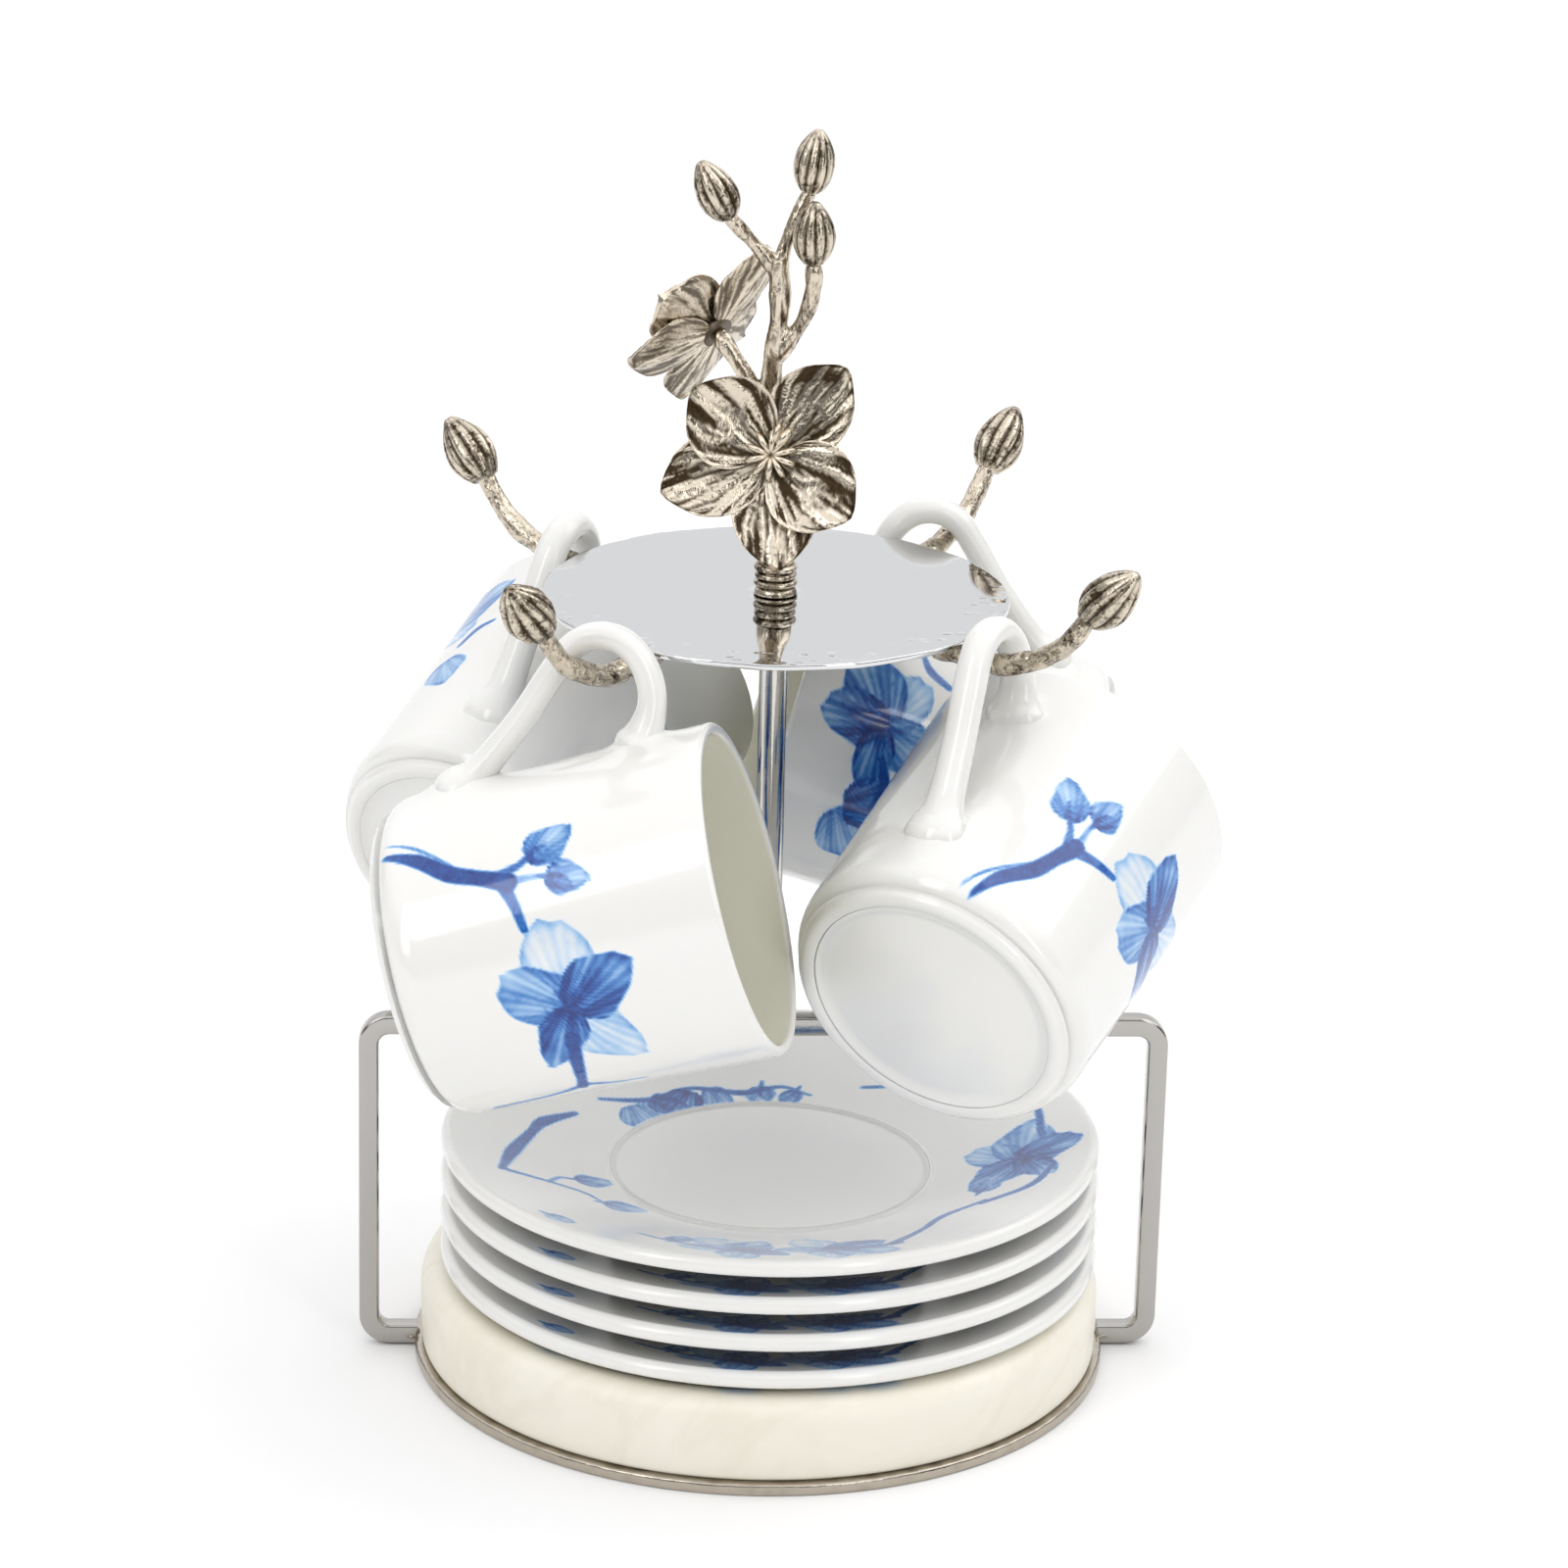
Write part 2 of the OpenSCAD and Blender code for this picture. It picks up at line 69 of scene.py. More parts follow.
class Wire:
    """An output socket that arithmetic can be done on; each operator adds a Math node."""

    def __init__(self, tree, socket):
        self.tree, self.socket = tree, socket

    def maths(self, operation, *values):
        node = self.tree.tree.nodes.new("ShaderNodeMath")
        node.operation = operation
        for slot, value in zip(node.inputs, values):
            self.tree.plug(slot, value)
        return Wire(self.tree, node.outputs[0])

    def __add__(self, other): return self.maths("ADD", self, other)
    def __radd__(self, other): return self.maths("ADD", other, self)
    def __sub__(self, other): return self.maths("SUBTRACT", self, other)
    def __rsub__(self, other): return self.maths("SUBTRACT", other, self)
    def __mul__(self, other): return self.maths("MULTIPLY", self, other)
    def __rmul__(self, other): return self.maths("MULTIPLY", other, self)
    def absolute(self): return self.maths("ABSOLUTE", self)
    def clamped(self): return self.maths("MINIMUM", self.maths("MAXIMUM", self, 0.0), 1.0)


class Tree:
    """Adds nodes to a shader or geometry tree. Each method returns the Wire of what it made."""

    def __init__(self, tree):
        self.tree = tree

    def plug(self, slot, value):
        if isinstance(value, Wire):
            self.tree.links.new(value.socket, slot)
        else:
            slot.default_value = value

    def add(self, kind, settings=None, sockets=None, out=0):
        node = self.tree.nodes.new(kind)
        for key, value in (settings or {}).items():
            if key == "stops":
                ramp = node.color_ramp
                while len(ramp.elements) < len(value):
                    ramp.elements.new(0.5)
                for element, (place, colour) in zip(ramp.elements, value):
                    element.position = place
                    element.color = (*colour, 1)
            else:
                setattr(node, key, value)
        for key, value in (sockets or {}).items():
            self.plug(node.inputs[key], value)
        return Wire(self, node.outputs[out])

    def surface(self, **sockets):
        """Sets the main shader's sockets; an underscore stands for a space."""
        for key, value in sockets.items():
            self.plug(self.tree.nodes["Principled BSDF"].inputs[key.replace("_", " ")], value)

    def place(self):
        return self.add("ShaderNodeTexCoord", out=3)

    def layer(self, name):
        """A mark kept on the mesh, read in a shader; mark does it in a geometry tree."""
        return self.add("ShaderNodeAttribute", {"attribute_name": name}, out=2)

    def noise(self, at, scale, detail, **more):
        return self.add("ShaderNodeTexNoise", None, {"Vector": at, "Scale": scale, "Detail": detail, **more})

    def bump(self, strength, distance, height):
        return self.add("ShaderNodeBump", None, {"Strength": strength, "Distance": distance, "Height": height})

    def mark(self, name):
        return self.add("GeometryNodeInputNamedAttribute", {"data_type": "FLOAT"}, {"Name": name})

    def shifted(self, shape, along, amount):
        """A shape with each of its points moved along a direction."""
        offset = self.add("ShaderNodeVectorMath", {"operation": "SCALE"}, {0: along, "Scale": amount})
        return self.add("GeometryNodeSetPosition", None, {"Geometry": shape, "Offset": offset})

    def kept(self, shape, name, value):
        """A shape with a value kept as a mark on its points."""
        return self.add("GeometryNodeStoreNamedAttribute", {"data_type": "FLOAT", "domain": "POINT"},
                        {"Geometry": shape, "Name": name, "Value": value})

    def blend(self, share, first, second):
        return self.add("ShaderNodeMix", {"data_type": "RGBA"}, {0: share, 6: first, 7: second}, 2)


def shader(name):
    """A new material and its tree."""
    made = bpy.data.materials.new(name)
    made.use_nodes = True
    return made, Tree(made.node_tree)


floor_finish, tree = shader("floor_paper")
grain = tree.add("ShaderNodeTexNoise", None, {"Scale": 40.0, "Detail": 2.0})
tree.surface(Base_Color=(0.90, 0.90, 0.90, 1), Roughness=0.7 + grain * 0.1, Specular_IOR_Level=0.2)
FLOOR = 8.0
floor_mesh = bpy.data.meshes.new("floor")
floor_corners = [(-FLOOR, -FLOOR, 0), (FLOOR, -FLOOR, 0), (FLOOR, FLOOR, 0), (-FLOOR, FLOOR, 0)]
floor_mesh.from_pydata(floor_corners, [], [(0, 1, 2, 3)])
floor = bpy.data.objects.new("floor", floor_mesh)
floor.data.materials.append(floor_finish)
scene.collection.objects.link(floor)

scene.world = bpy.data.worlds.new("room")
scene.world.use_nodes = True
room = Tree(scene.world.node_tree)
way = room.add("ShaderNodeTexCoord")
split = scene.world.node_tree.nodes.new("ShaderNodeSeparateXYZ")
room.plug(split.inputs[0], way)
across, deep, high = (Wire(room, split.outputs[i]) for i in range(3))
spread = across.absolute()
ceiling = ((high - 0.30) * 3.0).clamped()
behind_camera = ((-0.30 - deep) * 3.0).clamped() * ((0.55 - high) * 4.0).clamped()
off_gap = (spread - 0.82).absolute()
side_gap = ((0.13 - off_gap) * 12.0).clamped() * ((0.50 - high) * 4.0).clamped()
dark = (behind_camera * 0.80 + side_gap * 0.85).clamped()
far_wall = ((deep - 0.25) * 2.0).clamped()
walls = room.blend(far_wall, (0.46, 0.455, 0.45, 1), (0.93, 0.935, 0.95, 1))
walls = room.blend(ceiling, walls, (1.28, 1.28, 1.30, 1))
sky = room.blend(dark, walls, (0.045, 0.04, 0.035, 1))
backdrop = scene.world.node_tree.nodes["Background"]
room.plug(backdrop.inputs["Color"], sky)
backdrop.inputs["Strength"].default_value = 1.0
MIDDLE = Vector((0, 0, 0.11))


def soft_box(name, at, size, power):
    """An oblong lamp at a place, turned to the middle of the stand."""
    lamp = bpy.data.lights.new(name, "AREA")
    lamp.shape = "RECTANGLE"
    lamp.size, lamp.size_y = size
    lamp.energy = power
    holder = bpy.data.objects.new(name, lamp)
    holder.location = at
    holder.rotation_euler = (MIDDLE - Vector(at)).to_track_quat("-Z", "Y").to_euler()
    scene.collection.objects.link(holder)


soft_box("key_light", (0.75, 0.15, 0.95), (0.7, 0.9), 2.2)
soft_box("fill_light", (-0.75, -0.75, 0.75), (0.30, 0.9), 2.4)
soft_box("front_light", (0.55, -1.05, 0.55), (0.25, 0.8), 2.0)

# ---------------------------------------------------------------------------------------------------------
# Base
# A turned disc of cream stone with a honed face, a rounded shoulder and a shallow recess that the lowest
# saucer stands in. It sits on the hoop and on a felt pad.


def marked(mesh, **marks):
    """Keeps a number on each of a mesh's points, one layer for each mark."""
    for mark, values in marks.items():
        layer = mesh.attributes.new(mark, "FLOAT", "POINT")
        layer.data.foreach_set("value", np.asarray(values, np.float32))
    return mesh


def plain_mesh(name, points, faces=(), edges=()):
    """A mesh from points and groups of equally long faces, for a geometry tree to work on."""
    mesh = bpy.data.meshes.new(name)
    face_list = [face for group in faces for face in group.tolist()]
    mesh.from_pydata(np.asarray(points, float).tolist(), list(edges), face_list)
    return mesh


def outward(points, faces):
    """The faces of one closed shell, turned so that they point outwards."""
    volume = 0.0
    for group in faces:
        first = points[group[:, 0]]
        for k in range(1, group.shape[1] - 1):
            volume += np.einsum("ij,ij->", first, np.cross(points[group[:, k]], points[group[:, k + 1]]))
    return faces if volume > 0 else [group[:, ::-1] for group in faces]


def make(name, points, faces, **marks):
    """A mesh piece whose faces point outwards; marks are numbers kept on its points."""
    points = np.asarray(points, float)
    mesh = plain_mesh(name, points, outward(points, faces))
    mesh.shade_smooth()
    thing = bpy.data.objects.new(name, marked(mesh, **marks))
    scene.collection.objects.link(thing)
    return thing


def hoops(rows, columns, closed=False):
    """Faces between rows of points that each run once round; closed joins the last row to the first."""
    here, after = np.arange(columns), (np.arange(columns) + 1) % columns
    walls = []
    for row in range(rows if closed else rows - 1):
        low, top = row * columns, (row + 1) % rows * columns
        walls.append(np.stack([low + here, low + after, top + after, top + here], -1))
    return np.concatenate(walls)


def lathe(profile, columns):
    """Points and faces of a profile of (radius, height) points spun round Z. A profile that starts and ends
    off the axis is closed into a ring."""
    profile = np.asarray(profile, float)
    on_axis = profile[:, 0] < 1e-9
    rings = profile[~on_axis]
    angle = np.linspace(0, 2 * math.pi, columns, endpoint=False)
    ring_xy = np.stack([np.cos(angle), np.sin(angle)], -1)
    points = np.concatenate([rings[:, 0, None, None] * ring_xy,
                             np.repeat(rings[:, 1, None, None], columns, 1)], -1).reshape(-1, 3)
    here, after = np.arange(columns), (np.arange(columns) + 1) % columns
    rows = len(rings)
    faces = [hoops(rows, columns, not on_axis.any())]
    for end, row, order in ((0, 0, 1), (-1, rows - 1, -1)):
        if on_axis[end]:
            points = np.vstack([points, (0, 0, profile[end, 1])])
            pole = np.full(columns, len(points) - 1)
            faces.append(np.stack([pole, row * columns + after, row * columns + here][::order], -1))
    return points, faces


def eased(corners, steps=5, closed=False):
    """An outline of (x, y, cut) corners, each rounded off from cut before it to cut after it."""
    spots = [np.array(corner[:2], float) for corner in corners]
    line = []
    for k, (spot, corner) in enumerate(zip(spots, corners)):
        cut = corner[2] if len(corner) > 2 else 0
        if cut == 0 or (not closed and k in (0, len(spots) - 1)):
            line.append(spot)
            continue
        back, on = spots[k - 1] - spot, spots[(k + 1) % len(spots)] - spot
        start = spot + back / np.linalg.norm(back) * cut
        end = spot + on / np.linalg.norm(on) * cut
        for t in np.linspace(0, 1, steps + 1):
            line.append((1 - t) ** 2 * start + 2 * t * (1 - t) * spot + t * t * end)
    return np.array(line)


def size_of(node):
    """A CAD node's box, in mm."""
    low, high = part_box(node)
    return np.array(low) / MM, np.array(high) / MM


def corners_of(node):
    """A CAD node's mesh points, in mm."""
    return np.array([v.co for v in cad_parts[node].data.vertices], float) / MM


def finish(piece, finish_material, body, slot, *nodes):
    """Gives a piece its material and its body, and hides the CAD nodes that it stands for. The slot is not used."""
    piece.data.materials.clear()
    piece.data.materials.append(finish_material)
    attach(piece, body)
    if nodes:
        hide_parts(*nodes)


def turned(name, profile, columns):
    """A piece turned from a profile in mm."""
    points, faces = lathe(profile, columns)
    return make(name, points * MM, faces)


slab_low, slab_high = size_of("base_slab")
slab_r, slab_bottom, slab_top = slab_high[0], slab_low[2], slab_high[2]
seat_z = size_of("saucer_1")[0][2] - 0.05
SEAT_R = 28.9
stone, tree = shader("cream_stone")
spot = tree.place()
cloud = tree.noise(spot, 26.0, 6.0, Roughness=0.6, Distortion=1.2)
speck = tree.noise(spot, 420.0, 3.0)
vein = tree.noise(spot, 14.0, 8.0, Distortion=2.5)
vein_line = (1 - (vein - 0.5).absolute() * 26.0).clamped()
cream = tree.blend(cloud, (0.82, 0.78, 0.65, 1), (0.93, 0.90, 0.81, 1))
tree.surface(Base_Color=tree.blend(vein_line * 0.16, cream, (0.70, 0.63, 0.48, 1)), Roughness=0.30 + speck * 0.22,
             Subsurface_Weight=0.12, Subsurface_Radius=(0.006, 0.005, 0.003), Normal=tree.bump(0.08, 0.0002, speck))
slab_outline = eased([(0, slab_bottom), (slab_r - 0.2, slab_bottom, 1.0), (slab_r, slab_bottom + 6, 3.5),
                      (slab_r, slab_top, 4.4), (slab_r - 7.2, slab_top - 0.2, 2.6),
                      (slab_r - 10.5, slab_top - 2.0, 1.5), (SEAT_R + 4, seat_z + 1.6, 4),
                      (SEAT_R, seat_z, 2), (0, seat_z)], 8)
finish(turned("stone_base", slab_outline, 192), stone, "stand", "stone", "base_slab")

felt, tree = shader("felt")
spot = tree.place()
nap = tree.noise(spot, 1800.0, 4.0)
tree.surface(Base_Color=tree.blend(nap, (0.02, 0.02, 0.022, 1), (0.09, 0.09, 0.095, 1)), Roughness=0.95,
             Normal=tree.bump(0.6, 0.0003, nap))
felt_high = size_of("felt_pad")[1]
felt_outline = eased([(0, 0), (felt_high[0], 0, 0.3), (felt_high[0], felt_high[2], 0.3), (0, felt_high[2])], 3)
finish(turned("felt_disc", felt_outline, 160), felt, "stand", "felt", "felt_pad")

# ---------------------------------------------------------------------------------------------------------
# Hoop and bow
# The hoop is a flat nickel-plated steel ring, hammered along its edge. The bow is one square bar bent into a
# tall frame and welded to the hoop at both sides.


def nickel(name, tint, roughness, streak=(60.0, 60.0, 60.0), tarnish=0.0, dents=0.0):
    """Nickel plate. Dark brown tarnish fills what the recess mark says is low."""
    made, tree = shader(name)
    spot = tree.place()
    laid = tree.add("ShaderNodeMapping", None, {"Vector": spot, "Scale": streak})
    wear = tree.noise(laid, 8.0, 6.0, Roughness=0.65)
    fine = tree.noise(laid, 45.0, 3.0)
    recess = tree.layer("recess")
    low = (recess * tarnish + (wear - 0.5) * 0.25 * tarnish).clamped() if tarnish else wear * 0.06
    bright = tree.blend(wear, tuple(0.94 * c for c in tint) + (1,), tuple(tint) + (1,))
    height = fine + wear * 2.0
    tree.surface(Metallic=1.0, Base_Color=tree.blend(low, bright, (0.052, 0.034, 0.018, 1)),
                 Roughness=(roughness + (wear - 0.5) * 0.12 + low * 0.3).clamped(),
                 Normal=tree.bump(0.10 + 0.2 * dents, 0.0001 + 0.0002 * dents, height))
    return made


def grown(name, mesh, finish_material, build, remesh=0.0, **sizes):
    """Runs a geometry tree over a mesh and keeps the result as a plain piece. build(tree, geometry, inputs)
    returns the geometry; sizes are the tree's named inputs, and remesh is a voxel's size or nothing."""
    group = bpy.data.node_groups.new(name, "GeometryNodeTree")
    group.interface.new_socket("Geometry", in_out="INPUT", socket_type="NodeSocketGeometry")
    for key in sizes:
        group.interface.new_socket(key, in_out="INPUT", socket_type="NodeSocketFloat")
    group.interface.new_socket("Geometry", in_out="OUTPUT", socket_type="NodeSocketGeometry")
    tree = Tree(group)
    entry = group.nodes.new("NodeGroupInput")
    given = {socket.name: Wire(tree, socket) for socket in entry.outputs if socket.name}
    shape = build(tree, given.pop("Geometry"), given)
    shape = tree.add("GeometryNodeRealizeInstances", None, {0: shape})
    shape = tree.add("GeometryNodeSetMaterial", None, {"Geometry": shape, "Material": finish_material})
    tree.plug(group.nodes.new("NodeGroupOutput").inputs[0], shape)
    worker = bpy.data.objects.new(name + "_worker", mesh)
    scene.collection.objects.link(worker)
    if remesh:
        remesher = worker.modifiers.new("remesh", "REMESH")
        remesher.mode = "VOXEL"
        remesher.voxel_size = remesh
    modifier = worker.modifiers.new("grow", "NODES")
    modifier.node_group = group
    for item in group.interface.items_tree:
        if item.in_out == "INPUT" and item.name in sizes:
            modifier[item.identifier] = float(sizes[item.name])
    done = bpy.data.meshes.new_from_object(worker.evaluated_get(bpy.context.evaluated_depsgraph_get()))
    bpy.data.objects.remove(worker)
    done.name = name
    done.shade_smooth()
    piece = bpy.data.objects.new(name, done)
    scene.collection.objects.link(piece)
    return piece


def hammer(tree, shape, given):
    """Presses shallow round dents into a surface, along its normals."""
    place = tree.add("GeometryNodeInputPosition")
    cells = tree.add("ShaderNodeTexVoronoi", {"feature": "SMOOTH_F1"},
                     {"Vector": place, "Scale": given["Marks"], "Smoothness": 0.6})
    press = (cells - 0.45) * given["Depth"] * tree.mark("struck")
    shape = tree.shifted(shape, tree.add("GeometryNodeInputNormal"), press)
    return tree.kept(shape, "recess", (0.5 - cells).clamped())


satin = nickel("satin_nickel", (0.47, 0.455, 0.43), 0.13, (20.0, 20.0, 20.0), 0.0, 0.3)
hammered = nickel("hammered_nickel", (0.50, 0.45, 0.38), 0.20, (30.0, 30.0, 30.0), 0.35, 0.6)
hoop_high = size_of("base_hoop")[1]
hoop_r, hoop_h = hoop_high[0], hoop_high[2]
HOOP_W = 4.3
DENT_ROOM = 0.12
hoop_out = hoop_r - DENT_ROOM
hoop_outline = eased([(hoop_r - HOOP_W, 0, 0.4), (hoop_out, 0, 0.5), (hoop_out, hoop_h - 0.05, 0.6),
                      (hoop_r - HOOP_W, hoop_h - 0.05, 0.4)], 4, closed=True)
dense = [hoop_outline[0]]
for corner in list(hoop_outline[1:]) + [hoop_outline[0]]:
    start = dense[-1]
    pieces = max(1, int(np.linalg.norm(corner - start) / 0.45))
    dense += [start + (corner - start) * t for t in np.linspace(0, 1, pieces + 1)[1:]]
points, faces = lathe(dense[:-1], 900)
struck = ((np.hypot(points[:, 0], points[:, 1]) > hoop_r - HOOP_W + 0.8) & (points[:, 2] > 0.3)).astype(float)
ring_mesh = marked(plain_mesh("hoop", points * MM, faces), struck=struck)
hoop = grown("hammered_hoop", ring_mesh, hammered, hammer, Marks=330.0, Depth=0.00022)
finish(hoop, hammered, "stand", "hammered_nickel", "base_hoop")

bow_low, bow_high = size_of("bow_bar")
BAR = 3.6
upright_x, crossbar_z, foot_z = bow_high[0] - BAR / 2, bow_high[2] - BAR / 2, bow_low[2] + BAR / 2
bow_path = [(-hoop_r + 0.6, 0, foot_z), (-upright_x, 0, foot_z), (-upright_x, 0, crossbar_z),
            (upright_x, 0, crossbar_z), (upright_x, 0, foot_z), (hoop_r - 0.6, 0, foot_z)]


def bow_shape(tree, shape, given):
    """Bends a path at its corners and runs a square bar with eased edges along it."""
    path = tree.add("GeometryNodeMeshToCurve", None, {"Mesh": shape})
    bends = tree.add("GeometryNodeFilletCurve", {"mode": "POLY"},
                     {"Curve": path, "Radius": given["Bend"], "Count": 12})
    square = tree.add("GeometryNodeCurvePrimitiveQuadrilateral", None,
                      {"Width": given["Side"], "Height": given["Side"]})
    section = tree.add("GeometryNodeFilletCurve", {"mode": "POLY"},
                       {"Curve": square, "Radius": given["Edge"], "Count": 4})
    return tree.add("GeometryNodeCurveToMesh", None,
                    {"Curve": bends, "Profile Curve": section, "Fill Caps": True})


path_mesh = plain_mesh("bow", np.array(bow_path) * MM, edges=[(k, k + 1) for k in range(5)])
bow = grown("bent_bow", path_mesh, satin, bow_shape, Bend=3.8 * MM, Side=BAR * MM, Edge=0.5 * MM)
finish(bow, satin, "stand", "satin_nickel", "bow_bar")
bead_turn = np.radians(np.linspace(-90, 90, 13))
bead_outline = np.stack([np.cos(bead_turn), np.sin(bead_turn)], -1)
bead_outline[[0, -1], 0] = 0
bead_points, bead_faces = lathe(bead_outline, 24)
lumps = np.sin(5 * bead_points[:, :1] + 3 * bead_points[:, 1:2])
bead_points *= 1 + 0.12 * lumps * (1 - np.abs(bead_points[:, 2:]))
BEAD_SIZE = (1.5, 2.3, 0.75)
beads = [bead_points * BEAD_SIZE + (side * (hoop_r + 0.15), 0, hoop_h - 0.35) for side in (-1, 1)]
both_faces = bead_faces + [group + len(bead_points) for group in bead_faces]
weld = make("weld_beads", np.vstack(beads) * MM, both_faces, recess=np.full(2 * len(bead_points), 0.75))
finish(weld, hammered, "stand", "satin_nickel")

# ---------------------------------------------------------------------------------------------------------
# Column, tie rod, washer and nut
# A polished nickel tube stands on the bow's crossbar. A steel rod through it holds the finial down, and a
# washer and a hexagon nut tighten it below the crossbar, where the rod's thread shows.

polished = nickel("polished_nickel", (0.66, 0.64, 0.60), 0.06)
column_low, column_high = size_of("column")
BORE = 1.6
column_outline = eased([(BORE, column_low[2], 0.2), (column_high[0], column_low[2], 0.4),
                        (column_high[0], column_high[2], 0.2), (BORE, column_high[2], 0.2)], 4, closed=True)
finish(turned("column_tube", column_outline, 96), polished, "stand", "polished_nickel", "column")

steel, tree = shader("steel")
spot = tree.place()
drawn = tree.add("ShaderNodeMapping", None, {"Vector": spot, "Scale": (900.0, 900.0, 60.0)})
scratch = tree.noise(drawn, 3.0, 4.0)
tree.surface(Base_Color=tree.blend(scratch, (0.40, 0.41, 0.42, 1), (0.62, 0.63, 0.64, 1)),
             Roughness=0.22 + scratch * 0.2, Metallic=1.0)
rod_low, rod_high = size_of("tie_rod")
rod_r, THREAD_TOP, PITCH_MM, THREAD_DEPTH = rod_high[0], column_low[2] + 1, 0.5, 0.26
rod_outline = [(0, rod_low[2]), (rod_r - 0.35, rod_low[2])]
rod_outline += [(rod_r, z) for z in np.arange(rod_low[2] + 0.3, THREAD_TOP, PITCH_MM / 8)]
rod_outline += [(rod_r, THREAD_TOP + 0.5), (rod_r, rod_high[2] - 0.3), (rod_r - 0.3, rod_high[2]),
                (0, rod_high[2])]
points, faces = lathe(rod_outline, 48)
turns = points[:, 2] / PITCH_MM - np.arctan2(points[:, 1], points[:, 0]) / (2 * math.pi)
threaded = (points[:, 2] < THREAD_TOP) & (points[:, 2] > rod_low[2] + 0.2)
groove = THREAD_DEPTH * np.abs(2 * (turns % 1) - 1) * threaded
points[:, :2] *= (1 - groove / rod_r)[:, None]
finish(make("threaded_rod", points * MM, faces), steel, "stand", "steel", "tie_rod")

washer_low, washer_high = size_of("rod_washer")
washer_outline = eased([(BORE, washer_low[2], 0.1), (washer_high[0], washer_low[2], 0.15),
                        (washer_high[0], washer_high[2], 0.15), (BORE, washer_high[2], 0.1)], 4, closed=True)
finish(turned("flat_washer", washer_outline, 64), steel, "stand", "steel", "rod_washer")

nut_low, nut_high = size_of("rod_nut")
NUT_BORE, NUT_FACE, BLANK_R, NUT_FLAT = BORE + 0.25, 2.4, 4.0, nut_high[1]
nut_wall = [(BLANK_R, z) for z in np.linspace(nut_low[2], nut_high[2], 13)]
points, faces = lathe([(NUT_BORE, nut_low[2]), (NUT_FACE, nut_low[2])] + nut_wall
                      + [(NUT_FACE, nut_high[2]), (NUT_BORE, nut_high[2])], 144)
angle = np.arctan2(points[:, 1], points[:, 0])
flat_reach = NUT_FLAT / np.cos(angle % (math.pi / 3) - math.pi / 6)
cone_reach = 2.78 + 1.7 * np.minimum(points[:, 2] - nut_low[2], nut_high[2] - points[:, 2])
reach = np.minimum(np.hypot(points[:, 0], points[:, 1]), np.minimum(flat_reach, cone_reach))
points[:, 0], points[:, 1] = reach * np.cos(angle), reach * np.sin(angle)
finish(make("hexagon_nut", points * MM, faces), steel, "stand", "steel", "rod_nut")

# ---------------------------------------------------------------------------------------------------------
# Top plate
# A thin mirror-polished nickel disc, slightly uneven along its edge, with a few small hammer marks near it.

plate_low, plate_high = size_of("top_plate")
plate_r = plate_high[0]
EDGE_BAND = 4.5
inner_rings = np.arange(BORE + 4, plate_r - EDGE_BAND, 3.0)
ring_radii = np.append(inner_rings, np.arange(plate_r - EDGE_BAND, plate_r - 0.3, 0.4))
under_side = [(r, plate_low[2]) for r in (BORE, *ring_radii)]
upper_side = [(r, plate_high[2]) for r in (BORE, *ring_radii)]
plate_edge = eased([(plate_r - 0.35, plate_low[2]), (plate_r - 0.08, plate_low[2], 0.25),
                    (plate_r - 0.08, plate_high[2], 0.3), (plate_r - 0.35, plate_high[2])], 4)
points, faces = lathe(np.vstack([under_side, plate_edge, upper_side[::-1]]), 640)
reach, angle = np.hypot(points[:, 0], points[:, 1]), np.arctan2(points[:, 1], points[:, 0])
edge_share = np.clip((reach - plate_r + EDGE_BAND) / EDGE_BAND, 0, 1) ** 2
wobble = 0.5 * np.sin(17 * angle + 1) + 0.3 * np.sin(31 * angle) + 0.2 * np.sin(47 * angle + 2)
points[:, :2] *= (1 - edge_share * (0.14 + 0.12 * wobble) / plate_r)[:, None]
points[:, 2] += edge_share * 0.10 * np.sin(11 * angle) * np.sin(5 * angle + 1)
plate_mesh = marked(plain_mesh("plate", points * MM, faces), struck=edge_share)

mirror = nickel("mirror_nickel", (0.71, 0.715, 0.72), 0.035)
tree = Tree(mirror.node_tree)
spot = tree.place()
wide_cells = tree.add("ShaderNodeMapping", None, {"Vector": spot, "Scale": (260.0, 520.0, 1.0)})
marks = tree.add("ShaderNodeTexVoronoi", {"feature": "F1"}, {"Vector": wide_cells, "Scale": 1.0})
level_spot = tree.add("ShaderNodeMapping", None, {"Vector": spot, "Scale": (1.0, 1.0, 0.0)})
far_out = tree.add("ShaderNodeVectorMath", {"operation": "LENGTH"}, {0: level_spot}, 1)
near_edge = ((far_out - 0.0335) * 400.0).clamped() * ((0.0405 - far_out) * 900.0).clamped()
split = tree.tree.nodes.new("ShaderNodeSeparateXYZ")
tree.plug(split.inputs[0], spot)
at_front = (Wire(tree, split.outputs[1]) * -120.0).clamped()
dash = ((0.30 - marks) * 6.0).clamped() * near_edge * at_front
tree.surface(Normal=tree.bump(0.5, 0.0002, 1 - dash))
plate = grown("mirror_plate", plate_mesh, mirror, hammer, Marks=420.0, Depth=0.00009)
finish(plate, mirror, "stand", "polished_nickel", "top_plate")

# ---------------------------------------------------------------------------------------------------------
# Hooks
# Four twig-shaped hooks of cast nickel, soldered under the plate. Each ends in a ribbed flower bud, and dark
# oxide is left in the bark's hollows.


def smooth_line(spots, steps):
    """A smooth line through spots; each spot's last number is the radius there."""
    spots = np.asarray(spots, float)
    spots = np.vstack([2 * spots[0] - spots[1], spots, 2 * spots[-1] - spots[-2]])
    line = []
    for a, b, c, d in zip(spots, spots[1:], spots[2:], spots[3:]):
        for t in np.linspace(0, 1, steps, endpoint=False):
            bend, twist = 2 * a - 5 * b + 4 * c - d, 3 * b - a - 3 * c + d
            line.append(0.5 * (2 * b + (c - a) * t + bend * t * t + twist * t ** 3))
    return np.array(line + [spots[-2]])


